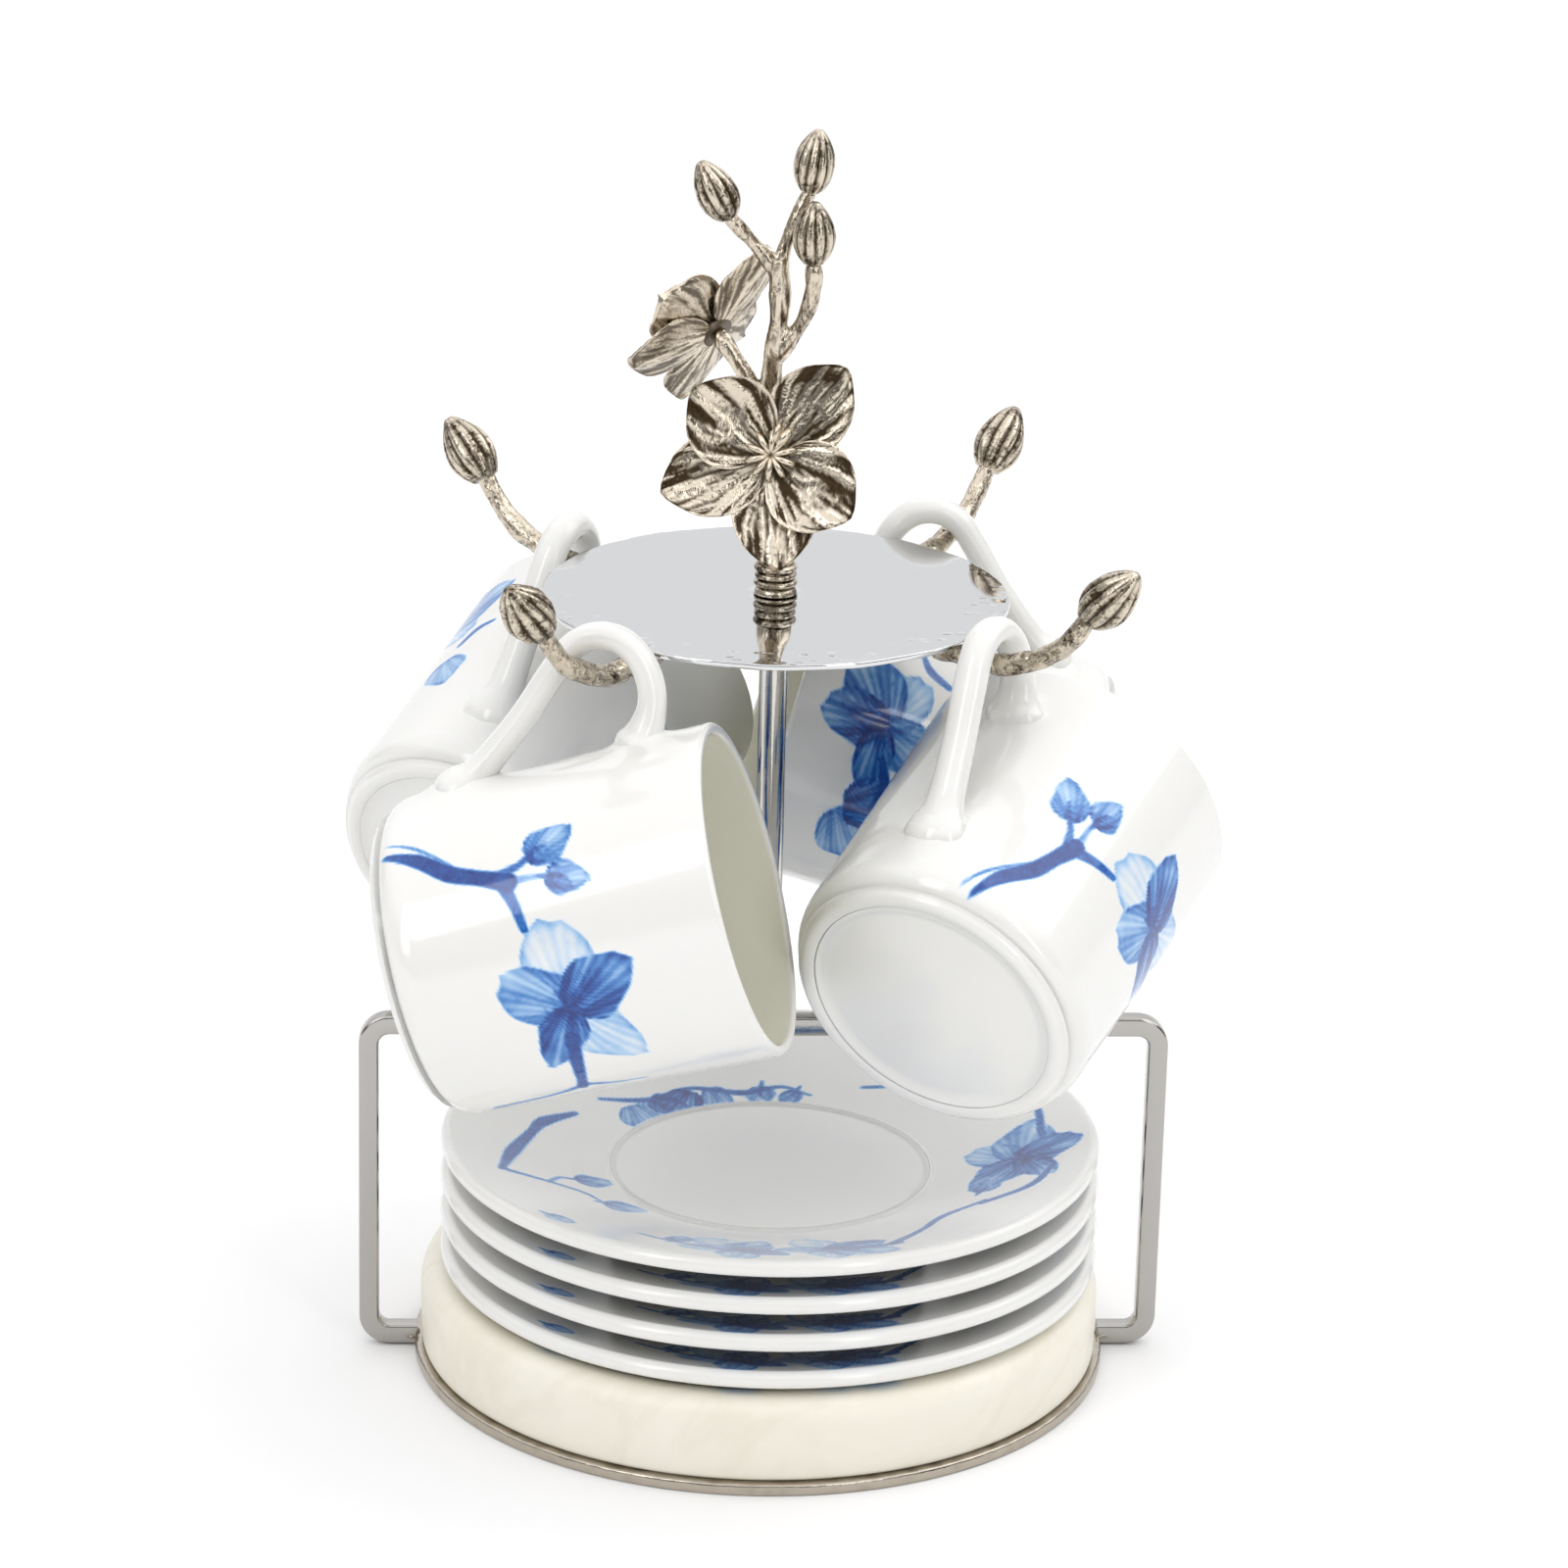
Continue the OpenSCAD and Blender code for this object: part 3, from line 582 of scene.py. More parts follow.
def end_fans(rows, columns):
    """Faces that close both ends of rows of points, to the two spots that come after them."""
    here, after = np.arange(columns), (np.arange(columns) + 1) % columns
    first, last = np.full(columns, rows * columns), np.full(columns, rows * columns + 1)
    tail = (rows - 1) * columns
    return np.concatenate([np.stack([first, after, here], -1), np.stack([last, tail + here, tail + after], -1)])


def limb(line, across, sides=40, widen=1.0, ribs=None):
    """Points and faces of a tube along line, whose fourth number is its radius, with a tip at each end. ribs
    scales the radius at each place and angle."""
    path, radii = line[:, :3], line[:, 3]
    along = np.gradient(path, axis=0)
    along /= np.linalg.norm(along, axis=1)[:, None]
    side = across - (along @ across)[:, None] * along
    side /= np.linalg.norm(side, axis=1)[:, None]
    other = np.cross(along, side)
    angle = np.linspace(0, 2 * math.pi, sides, endpoint=False)
    reach = radii[:, None] * (np.ones((len(path), sides)) if ribs is None else ribs)
    points = (path[:, None] + (reach * np.cos(angle))[..., None] * side[:, None] * widen
              + (reach * np.sin(angle))[..., None] * other[:, None]).reshape(-1, 3)
    tips = [path[0] - along[0] * radii[0] * 0.3, path[-1] + along[-1] * radii[-1] * 0.3]
    return np.vstack([points, tips]), [hoops(len(path), sides), end_fans(len(path), sides)]


RIDGES = 11


def bud_ribs(share, sides, wander):
    """How far a bud's skin stands out at each height share and angle, and how dark its grooves are."""
    angle = np.linspace(0, 2 * math.pi, sides, endpoint=False)[None]
    height = np.clip(share, 0, 1)[:, None]
    swing = 0.16 * np.sin(3 * height + wander) + 0.10 * np.sin(2 * angle + wander)
    groove = 1 - np.abs(np.sin(RIDGES / 2 * angle + 0.5 * np.sin(angle + wander) + swing)) ** 0.7
    fade = np.sin(math.pi * np.clip(height * 0.9 + 0.1, 0, 1)) ** 0.5 * (share[:, None] > 0.02)
    wave = 0.03 * np.sin(2 * angle + 6 * height + wander)
    return 1 - fade * (0.15 * groove + wave), np.clip(1.6 * groove - 0.15, 0, 1) * fade


def bud_radius(share, width):
    """A bud's radius at each share of its height; it is fullest below the middle."""
    return 0.97 * width / 2 * np.sin(math.pi * np.clip(0.92 * share + 0.06, 0, 0.995) ** 0.85) ** 0.66


def bark(tree, shape, given):
    """Roughens a casting with knots and wrinkles, and darkens its hollows. The even mark holds it back, and
    Upright under 1 draws the wrinkles out along Z."""
    squash = tree.add("ShaderNodeCombineXYZ", None, {"X": 1.0, "Y": 1.0, "Z": given["Upright"]})
    place = tree.add("ShaderNodeVectorMath", {"operation": "MULTIPLY"},
                     {0: tree.add("GeometryNodeInputPosition"), 1: squash})
    knots = tree.noise(place, given["Knots"], 2.0)
    wrinkles = tree.noise(place, given["Wrinkles"], 5.0, Roughness=0.65, Distortion=1.5)
    height = ((knots - 0.5) * 2.2 + (wrinkles - 0.5) * 1.1) * (1 - tree.mark("even") * 0.75)
    shape = tree.shifted(shape, tree.add("GeometryNodeInputNormal"), height * given["Depth"])
    low = (tree.mark("recess") + ((0.54 - wrinkles) * 5.5 + (0.47 - knots) * 2.6).clamped()).clamped()
    return tree.kept(shape, "recess", low)


def casting(name, points, faces, node, knots=300.0, depth=0.0003, upright=0.5, build=bark, remesh=0.0, **marks):
    """A casting with a rough skin grown on a closed shape in mm, finished in dark cast nickel."""
    mesh = marked(plain_mesh(name + "_blank", points * MM, faces), **marks)
    piece = grown(name, mesh, cast, build, remesh, Knots=knots, Wrinkles=900.0, Depth=depth, Upright=upright)
    finish(piece, cast, "stand", "cast_nickel", node)


cast = nickel("cast_nickel", (0.69, 0.61, 0.49), 0.13, (90.0, 90.0, 45.0), 1.0, 0.6)
hook_base_z = size_of("hook_front_left")[0][2] + 1.9
HOOK_RISE = [(34.5, 0.6), (38, 0.6), (42, 0.25), (46.5, 0), (50, 0.55), (53, 1.7), (56.5, 3.2), (60, 5.4),
             (63, 8.6), (65.6, 12.2)]
HOOK_R, TWIG_R, TWIG_FROM = 1.9, 1.67, 58
HOOK_BUD_LONG, HOOK_BUD_WIDE, HOOK_BUD_SLOPE = 13.7, 9.0, math.radians(46)
SIDES = 120
stalk = smooth_line([(r, 0, hook_base_z + rise, TWIG_R if r > TWIG_FROM else HOOK_R) for r, rise in HOOK_RISE], 14)
stalk_end = len(stalk) - 1
share = np.linspace(0, 1, 90)
reach = -0.6 + HOOK_BUD_LONG * share
hook_bud = np.stack([HOOK_RISE[-1][0] + reach * math.cos(HOOK_BUD_SLOPE), 0 * share,
                     hook_base_z + HOOK_RISE[-1][1] + reach * math.sin(HOOK_BUD_SLOPE),
                     bud_radius(share, HOOK_BUD_WIDE)], 1)
hook_bud[-1, 3] = 0.05
for index, name in enumerate(("front_right", "back_right", "back_left", "front_left")):
    heading = math.atan2(*corners_of("hook_" + name).mean(0)[[1, 0]])
    line = np.vstack([stalk[:-1], hook_bud[4:]])
    up_stalk = np.arange(stalk_end)
    line[up_stalk, 3] *= 1 + 0.07 * np.sin(up_stalk * 0.13 + index) + 0.03 * np.sin(up_stalk * 0.29)
    line[0, 3] = 0.4
    ribs, grooves = np.ones((len(line), SIDES)), np.zeros((len(line), SIDES))
    ribs[stalk_end:], grooves[stalk_end:] = (part[4:] for part in bud_ribs(share, SIDES, index * 1.7))
    points, faces = limb(line, np.array([0, 1.0, 0]), SIDES, ribs=ribs)
    even = np.append(np.repeat(np.arange(len(line)) >= stalk_end, SIDES).astype(float), [0, 1])
    spin = np.array(((math.cos(heading), math.sin(heading), 0), (-math.sin(heading), math.cos(heading), 0),
                     (0, 0, 1)))
    casting("twig_hook_" + name, points @ spin, faces, "hook_" + name, 260.0, 0.00038, 1.0,
            recess=np.append(grooves, [0, 1]), even=even)

# ---------------------------------------------------------------------------------------------------------
# Finial
# A cast nickel sprig stands on a ribbed collar above the plate: a forked stem with three buds, one open
# flower in front and one seen from behind. The castings are brazed together and darkened in the hollows.

collar_low, collar_high = size_of("finial_collar")
collar_r, collar_z, stem_z = collar_high[0], collar_low[2], collar_high[2]
collar_outline, RIBS = [(0, stem_z)], 4
rib_tall = (stem_z - collar_z) / RIBS
for rib in range(RIBS):
    top = stem_z - rib * rib_tall
    bulge = collar_r * (0.97 if rib % 2 else 1.0)
    whole, stretch = (1, 1) if rib < RIBS - 1 else (0.62, 1.6)
    for t in np.linspace(0, whole, 9):
        waist = 0.80 + 0.20 * math.sin(math.pi * t) ** 0.6
        collar_outline.append((bulge * waist, top - t * rib_tall * stretch))
collar_outline += [(BORE, collar_z), (BORE, stem_z - 1.4), (0, stem_z - 1.4)]
points, faces = lathe(collar_outline, 96)
reach = np.hypot(points[:, 0], points[:, 1])
recess = np.clip((0.93 - reach / collar_r) * 6, 0, 1)
casting("ribbed_collar", points, faces, "finial_collar", recess=recess, even=np.full(len(points), 0.6))


def unit(vector):
    vector = np.asarray(vector, float)
    return vector / np.linalg.norm(vector)


def axis_of(node):
    """The foot and the direction of a round CAD part's axis, pointing at its thinner or emptier end."""
    corners = corners_of(node)
    loops = np.array([p.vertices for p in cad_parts[node].data.polygons])
    a, b, c = (corners[loops[:, k]] for k in range(3))
    area = np.linalg.norm(np.cross(b - a, c - a), axis=1)
    spots = np.concatenate([(a + b) / 2, (b + c) / 2, (c + a) / 2])
    weight = np.tile(area, 3)
    middle = (spots * weight[:, None]).sum(0) / weight.sum()
    spread = ((spots - middle).T * weight) @ (spots - middle) / weight.sum()
    values, vectors = np.linalg.eigh(spread)
    axis = vectors[:, 0] if values[1] - values[0] > values[2] - values[1] else vectors[:, 2]
    reach = (corners - middle) @ axis
    if -reach.min() > reach.max():
        axis, reach = -axis, -reach
    return middle + axis * reach.min(), axis


blossoms = {}
for place, roll in (("front", 140), ("rear", 205)):
    foot, facing = axis_of(place + "_orchid_heart")
    sideways = unit(np.cross((0, 0, 1), facing))
    upright = np.cross(sideways, facing)
    turn = math.radians(roll)
    blossoms[place] = (foot, math.cos(turn) * upright + math.sin(turn) * sideways,
                       math.cos(turn) * sideways - math.sin(turn) * upright, facing)
HEART_LIFT, PETAL_T = 1.35, 1.0
base = np.array((0, 0, stem_z))
back_of = {place: foot - (HEART_LIFT + PETAL_T) * facing - base
           for place, (foot, _, _, facing) in blossoms.items()}
bud_feet = {name: axis_of("bud_" + name) for name in ("left", "top", "middle")}
TWIGS = [[(0, 0, 0.1, 2.9), (-0.6, 0.6, 7.7, 2.3), (-1.2, 0.8, 20.7, 2.1), (-1.5, 0.6, 33.7, 1.95),
          (-0.7, 0, 41.7, 1.8), (-0.4, 0, 48.7, 1.75), (-1, 0, 54.4, 1.9)],
         [(-0.6, 0, 52.2, 1.4), (-5.7, 0, 57.8, 1.3), (*(bud_feet["left"][0] - base), 1.35)],
         [(-1, 0, 52.2, 1.4), (1.1, 0.4, 59.1, 1.2), (*(bud_feet["top"][0] - base), 1.3)],
         [(-0.7, 0, 37.2, 1.5), (3.6, -1.1, 43.9, 1.45), (5.1, -2.2, 49.9, 1.5),
          (*(bud_feet["middle"][0] - base), 1.4)],
         [(-1.2, 1.5, 18.2, 1.7), (-1.6, -3.5, 20.3, 1.6), (*back_of["front"], 1.7)],
         [(-1.3, 0.8, 25.7, 1.6), (-4.4, 1.4, 31.2, 1.45), (-7.8, 2.6, 36.3, 1.45), (*back_of["rear"], 1.7)]]
stem_points, stem_faces = np.zeros((0, 3)), []
for twig in TWIGS:
    line = smooth_line(np.array(twig) + (0, 0, stem_z, 0), 10)
    steps_up = np.arange(len(line))
    line[:, 3] *= 1 + 0.08 * np.sin(steps_up * 0.55) + 0.06 * np.sin(steps_up * 0.23 + 2)
    points, faces = limb(line, np.array([0.3, 0.95, 0.1]), 24)
    stem_faces += [group + len(stem_points) for group in faces]
    stem_points = np.vstack([stem_points, points])


def soft_bark(tree, shape, given):
    """Bark on a stem whose joints are smoothed first."""
    place = tree.add("GeometryNodeBlurAttribute", {"data_type": "FLOAT_VECTOR"},
                     {"Value": tree.add("GeometryNodeInputPosition"), "Iterations": 3})
    shape = tree.add("GeometryNodeSetPosition", None, {"Geometry": shape, "Position": place})
    return bark(tree, shape, given)


casting("forked_stem", stem_points, stem_faces, "blossom_stem", 230.0, 0.0004, 0.22, soft_bark, 0.25 * MM)

for index, name in enumerate(bud_feet):
    foot, axis = bud_feet[name]
    length = ((corners_of("bud_" + name) - foot) @ axis).max() - 0.3
    share = np.linspace(0, 1, 80)
    line = np.column_stack([foot + np.outer(share * length, axis), bud_radius(share, 7.5)])
    line[-1, 3] = 0.05
    ribs, grooves = bud_ribs(share, SIDES, index * 2.1 + 0.6)
    points, faces = limb(line, np.array([0.2, 1.0, 0.1]), SIDES, ribs=ribs)
    casting("ribbed_bud_" + name, points, faces, "bud_" + name, recess=np.append(grooves, [0, 1]),
            even=np.full(len(points), 0.9))

ROOT = 2.0


def petal(length, width, cup, turn, lift, seed, fine=(84, 112)):
    """One cupped petal of a casting, as points, faces and hollows, in a flower's frame. v goes from root to
    tip and the angle goes round the petal's thickness."""
    v = np.linspace(0, 1, fine[0])[:, None]
    angle = np.linspace(0, 2 * math.pi, fine[1], endpoint=False)[None]
    u, side = np.cos(angle) + 0 * v, np.sin(angle) + 0 * v
    half = 0.5 * width * np.sin(math.pi * (0.06 + 0.86 * v ** 0.8)) ** 0.55
    squeeze = np.clip(1 - (np.clip(v - 0.78, 0, 1) / 0.22) ** 2.4, 0.0004, 1) ** 0.5
    half = half * squeeze
    across_petal = half * u / (0.5 * width * (0.35 + 0.65 * np.minimum(1, v / 0.55)))
    crease = np.empty(u.shape)
    for i, j in np.ndindex(u.shape):
        grain_at = Vector((across_petal[i, j] * 5.5, v[i, 0] * 1.8 + 0.5 * (side[i, j] < 0), seed))
        crease[i, j] = noise.fractal(grain_at, 0.8, 2.2, 5)
    rim = np.sqrt(u ** 2 + np.clip((v - 0.70) / 0.30, 0, 1) ** 4 * (1 - u ** 2))
    bead = np.exp(-((rim - 0.97) / 0.05) ** 2)
    moat = np.exp(-((rim - 0.87) / 0.055) ** 2)
    vein = 1 - np.abs(np.sin(math.pi * (4.5 * across_petal + 0.9 * crease + 0.15 * seed))) ** 0.5
    ruffle = 0.40 * np.abs(u) ** 3 * np.sin(9 * v + seed) * v + 0.40 * v ** 4 * np.sin(5 * u + seed)
    middle = cup * (0.9 * v ** 2 + 0.5 * u ** 2 * np.sin(math.pi * np.minimum(v, 0.9))) + ruffle - PETAL_T / 2
    thick = PETAL_T / 2 * (0.95 - 0.45 * v * np.abs(u) ** 2) * np.sign(side) * np.abs(side) ** 0.55
    face, back = 0.42 * crease - 0.42 * vein + 0.34 * bead - 0.25 * moat, 0.25 * crease - 0.2 * vein
    relief = np.where(side > 0, face, back) * np.abs(side) ** 0.3 * np.minimum(1, 4 * v + 0.3)
    x = ROOT + (length - ROOT) * v * (1 - 0.1 * (u * squeeze) ** 2 * v)
    y = half * u
    z = middle + thick + np.sign(side + 1e-9) * relief * 0.55 + lift
    hollow = np.clip(-crease * 2.2 + 0.9 * vein - 0.05 + 0.30 * (1 - v) + 0.75 * moat - 0.9 * bead, 0, 1)
    hollow = hollow * np.where(side > 0, 1, 0.8)
    spin = math.radians(turn)
    points = np.stack([x * math.cos(spin) - y * math.sin(spin), x * math.sin(spin) + y * math.cos(spin), z], -1)
    ends = points[[0, -1]].mean(1)
    return np.vstack([points.reshape(-1, 3), ends]), [hoops(*fine), end_fans(*fine)], np.append(hollow, [1, 0])


def heart_folds(tree, shape, given):
    """Sets a ring of ten narrow folds round the flower's centre."""
    number = tree.add("GeometryNodeInputIndex")
    ring = tree.add("GeometryNodePoints", None, {"Count": 10, "Position": (0.0, 0.0, 0.0)})
    spin = tree.add("ShaderNodeCombineXYZ", None, {"Z": number * given["Turn"]})
    return tree.add("GeometryNodeInstanceOnPoints", None, {"Points": ring, "Instance": shape, "Rotation": spin})


for place, (length, width, cup) in (("front", (20, 16.5, 3.6)), ("rear", (17.3, 14.8, 3.1))):
    foot, right, up, facing = blossoms[place]
    centre = foot - HEART_LIFT * facing
    stand_in = np.array([right, up, facing])
    parts = [petal(length, width * 0.9, cup * 0.7, turn, 0, 3.1 * k + length)
             for k, turn in enumerate((0, 150, 225))]
    parts += [petal(length * 0.88, width, cup, turn, 1.2, 7.7 * k + width) for k, turn in enumerate((-87, 91))]
    hub = [(0, -PETAL_T), (3.0, -PETAL_T), (3.2, -0.5), (2.4, 0.5), (1.2, 0.9), (0, 1.0)]
    hub_points, hub_faces = lathe(hub, 32)
    parts.append((hub_points, hub_faces, np.full(len(hub_points), 0.8)))
    for sweep, wide in ((4, 1.25), (26, 0.85)):
        ear = [(1.2, 0, 0.6, 0.4), (3.0, 0, 2.2, wide), (4.6, 0, 2.7, wide * 0.9), (6.0, 0, 2.2, 0.2)]
        ear = smooth_line(ear, 8)
        swing = math.radians(sweep)
        ear[:, 0], ear[:, 1] = ear[:, 0] * math.cos(swing), ear[:, 0] * math.sin(swing)
        ear_points, ear_faces = limb(ear, np.array([-math.sin(swing), math.cos(swing), 0]), 20, widen=0.8)
        parts.append((ear_points, ear_faces, np.clip((1.9 - ear_points[:, 2]) * 0.6, 0, 1)))
    points, faces, hollows = np.zeros((0, 3)), [], np.zeros(0)
    for part_points, part_faces, part_hollows in parts:
        faces += [group + len(points) for group in outward(part_points, part_faces)]
        points, hollows = np.vstack([points, part_points]), np.append(hollows, part_hollows)
    flower = make("open_flower_" + place, (points @ stand_in + centre) * MM, faces, recess=hollows)
    finish(flower, cast, "stand", "cast_nickel", place + "_orchid")

    fold_line = smooth_line([(0.15, 0, 0.5, 0.25), (1.2, 0, 1.15, 0.42), (2.6, 0, 1.25, 0.58),
                             (3.9, 0, 0.75, 0.50), (4.7, 0, 0.15, 0.12)], 6)
    fold_points, fold_faces = limb(fold_line, np.array([0, 1.0, 0]), 16)
    fold_hollows = np.clip((0.75 - fold_points[:, 2]) * 1.2 + 0.6 * (fold_points[:, 0] < 0.8), 0, 1)
    fold_mesh = plain_mesh("fold", fold_points * MM, outward(fold_points, fold_faces))
    fold_mesh = marked(fold_mesh, recess=fold_hollows)
    heart = grown("flower_heart_" + place, fold_mesh, cast, heart_folds, Turn=math.radians(36))
    heart.data.transform(Matrix([[*stand_in[:, k], foot[k] * MM] for k in range(3)] + [[0, 0, 0, 1]]))
    finish(heart, cast, "stand", "cast_nickel", place + "_orchid_heart")

# ---------------------------------------------------------------------------------------------------------
# Cups
# Four small porcelain cups with ear-shaped handles hang from the hooks. The body is cast and glazed all
# over but the foot, and a sprig of blue flowers is painted by hand on both sides.


class Brush:
    """Adds strokes of ink to a sheet of spots; where strokes meet, the darker one shows."""

    def __init__(self, spots):
        self.spots, self.ink = spots, np.zeros(len(spots))

    def lay(self, amount):
        self.ink = np.maximum(self.ink, np.clip(amount, 0, 1))

    def line(self, spots, widths, dark, soft=0.5):
        """A stroke through spots, whose width goes evenly through widths."""
        path = smooth_line([(*spot, 0) for spot in spots], 6)[:, :2]
        wide = np.interp(np.linspace(0, 1, len(path)), np.linspace(0, 1, len(widths)), widths)
        for start, end, near, far in zip(path, path[1:], wide, wide[1:]):
            step = end - start
            t = np.clip(((self.spots - start) @ step) / max(step @ step, 1e-9), 0, 1)
            gap = np.linalg.norm(self.spots - start - t[:, None] * step, axis=1)
            half = (near + (far - near) * t) / 2
            toward_edge = np.clip(gap / np.maximum(half, 0.01), 0, 1)
            self.lay(dark * np.clip((half - gap) / soft + 0.5, 0, 1) * (0.75 + 0.25 * toward_edge))

    def petal(self, at, aim, length, width, dark, streaks=7.0, seed=0.0):
        """A petal painted from its root at a spot, streaked along its length, with a darker edge."""
        turn = math.radians(aim)
        off = self.spots - np.asarray(at)
        along = off[:, 0] * math.cos(turn) + off[:, 1] * math.sin(turn)
        aside = -off[:, 0] * math.sin(turn) + off[:, 1] * math.cos(turn)
        share = np.clip(along / length, 0, 1)
        frill = 1 + 0.07 * np.sin(9 * np.arctan2(aside, along + 1) + seed)
        half = width / 2 * np.sin(math.pi * (0.05 + 0.93 * share ** 0.75)) ** 0.6 * frill
        inside = np.minimum(half - np.abs(aside), np.minimum(along, length * frill - along))
        cover = np.clip(inside / 0.5 + 0.3, 0, 1)
        fan = np.arctan2(aside, along + 0.25 * length)
        streak = 0.5 + 0.5 * np.sin(fan * streaks * 3 + seed) * np.sin(fan * streaks * 5.3 + 2 * seed + 3 * share)
        pool = 0.5 + 0.5 * np.sin(0.55 * self.spots[:, 0] + seed) * np.sin(0.5 * self.spots[:, 1] + 2 * seed)
        edge = np.exp(-np.clip(inside, 0, 9) / 0.7)
        fill = 0.16 + 0.66 * streak * (1.15 - 0.6 * share) + 0.38 * pool * share + 0.40 * (1 - share) ** 2
        self.lay((dark * fill + 0.38 * edge * (0.35 + 0.65 * pool)) * cover)

    def bud(self, at, aim, length, dark=0.8):
        """A closed bud on a short stalk, pointing the way that aim says."""
        root, ahead = np.asarray(at, float), np.array((math.cos(math.radians(aim)), math.sin(math.radians(aim))))
        self.petal(root, aim, length, length * 0.82, dark * 0.8, 5.0, length)
        self.petal(root, aim + 18, length * 0.7, length * 0.45, dark, 5.0, 2.0)
        self.line([root - 1.6 * ahead, root + 0.8 * ahead], (0.5, 1.1), 0.9)

    def blossom(self, at, turn, size, weights=(0.22, 0.60, 1.0, 1.0, 0.30)):
        """Five petals round a spot, the weights giving how dark each one is, and a dark heart."""
        at = np.asarray(at, float)
        shapes = ((-90, 1.0, 0.84), (214, 0.80, 0.68), (-31, 0.84, 0.66), (120, 0.80, 0.50), (56, 0.94, 0.66))
        for k, ((aim, long, wide), dark) in enumerate(zip(shapes, weights)):
            self.petal(at, turn + aim, size * long, size * wide, dark, 6.0, 1.3 * k + size)
        for aim in (-60, 30, 95, 160, 250):
            bend = math.radians(turn + aim)
            self.line([at, at + 0.25 * size * np.array((math.cos(bend), math.sin(bend)))], (1.5, 0.6), 1.0)


def cup_painting(spots):
    """Ink on a cup's wall. A spot is (height above the foot, way round from the handle), in mm."""
    brush = Brush(spots)
    brush.line([(3.8, 20.5), (9.5, 23), (15, 27), (20, 29), (25, 31)], (0.9, 2.6, 3.0, 2.6, 3.4), 0.95)
    brush.line([(4.5, 18), (9.5, 20.5), (16, 26)], (0.4, 0.7, 0.5), 0.6, 0.35)
    brush.line([(22, 30), (27, 28.5), (28.5, 27.5)], (2.0, 1.2, 1.0), 0.75)
    brush.line([(24, 31), (29, 31), (31.5, 31.2)], (1.6, 0.9, 0.8), 0.55)
    brush.bud((28.8, 27.6), -28, 8.8, 0.8)
    brush.bud((31.6, 31.4), 14, 7.4, 0.85)
    brush.line([(24, 31), (25.5, 35), (26.5, 39.5)], (2.4, 1.8, 1.3), 0.8)
    brush.blossom((30.5, 54.5), 0, 16.5)
    brush.line([(29, 60), (28, 66), (27, 72), (26, 76)], (2.6, 2.2, 1.6, 1.8), 0.95)
    brush.line([(27, 75), (20, 78), (10, 80)], (1.6, 1.1, 1.9), 0.7)
    brush.line([(27, 75), (32, 77), (37, 77.5)], (1.4, 0.8, 0.4), 0.6)
    brush.line([(39, -14), (37, -17), (33, -19)], (0.8, 1.6, 1.2), 0.8)
    brush.blossom((43, -30), 150, 15.0, (0.75, 0.95, 0.45, 0.9, 0.6))
    brush.line([(41, -36), (39, -41), (40, -45)], (1.6, 2.2, 1.4), 0.9)
    brush.petal((45, -46), 225, 15, 16, 0.55, 9.0, 1.0)
    brush.petal((45, -46), 165, 12, 11, 0.9, 6.0, 3.0)
    brush.petal((29, -20), 150, 9, 9, 0.5, 6.0, 2.0)
    return brush.ink


porcelain, tree = shader("painted_porcelain")
spot = tree.place()
ink = tree.layer("ink")
water = tree.noise(spot, 420.0, 4.0, Distortion=1.0)
wash = tree.noise(spot, 1500.0, 2.0)
body_tone = tree.noise(spot, 18.0, 2.0)
amount = (ink * (0.72 + water * 0.56) - (wash - 0.5) * 0.12 * ink).clamped()
INK_STOPS = [(0.0, (0.78, 0.84, 0.89)), (0.25, (0.36, 0.56, 0.80)), (0.5, (0.07, 0.24, 0.58)),
             (0.75, (0.014, 0.085, 0.36)), (1.0, (0.005, 0.028, 0.19))]
blue = tree.add("ShaderNodeValToRGB", {"stops": INK_STOPS}, {0: amount})
inside = tree.layer("inside")
glaze_and_inner_shade = tree.blend(body_tone, (0.82, 0.815, 0.785, 1), (0.855, 0.85, 0.825, 1))
# Painted shade: the inside of the cup is tinted darker and yellower, standing in for the shade and warm reflections
# inside it.
glaze_and_inner_shade = tree.blend(inside * 0.8, glaze_and_inner_shade, (0.80, 0.79, 0.66, 1))
tree.surface(Base_Color=tree.blend((amount * 5.0).clamped(), glaze_and_inner_shade, blue), Roughness=0.07 + body_tone * 0.04,
             Subsurface_Weight=0.10, Subsurface_Radius=(0.004, 0.0035, 0.002), Coat_Weight=0.3, Coat_Roughness=0.03)


def fine_line(line, step):
    """The same outline with spots no further apart than step."""
    out = [np.asarray(line[0], float)]
    for spot_2d in np.asarray(line[1:], float):
        pieces = max(1, math.ceil(np.linalg.norm(spot_2d - out[-1]) / step))
        start = out[-1]
        out += [start + (spot_2d - start) * t for t in np.linspace(0, 1, pieces + 1)[1:]]
    return np.array(out)


CUP_H, RIM_R, FOOT_R, WALL, CUP_FLOOR = 59.4, 28.9, 27.6, 2.0, 3.3
RING_OUT, RING_IN, RING_H = 24.8, 22.4, 1.1
inside_wall = eased([(0, CUP_FLOOR), (FOOT_R - WALL, CUP_FLOOR, 4.6), (RIM_R - WALL, CUP_H, 1.0)], 8)
inside_wall = fine_line(inside_wall[:-1], 3.0)
rim = eased([(RIM_R - WALL, CUP_H - 1.1), (RIM_R - WALL, CUP_H, 0.9), (RIM_R, CUP_H, 0.9),
             (RIM_R - 0.03, CUP_H - 1.1)], 5)
outside_wall = fine_line([(RIM_R - 0.03, CUP_H - 1.5), (FOOT_R, 7.2)], 0.42)
under = eased([(FOOT_R, 6.9), (FOOT_R, RING_H, 5.6), (RING_OUT + 0.4, RING_H + 0.25, 0.5), (RING_OUT - 0.3, 0, 0.8),
               (RING_IN + 0.4, 0, 0.8), (RING_IN - 1.6, RING_H, 1.6), (0, RING_H)], 8)
cup_outline = np.vstack([inside_wall[:-1], rim, outside_wall, under])
CUP_COLUMNS = 384
cup_points, cup_faces = lathe(cup_outline, CUP_COLUMNS)
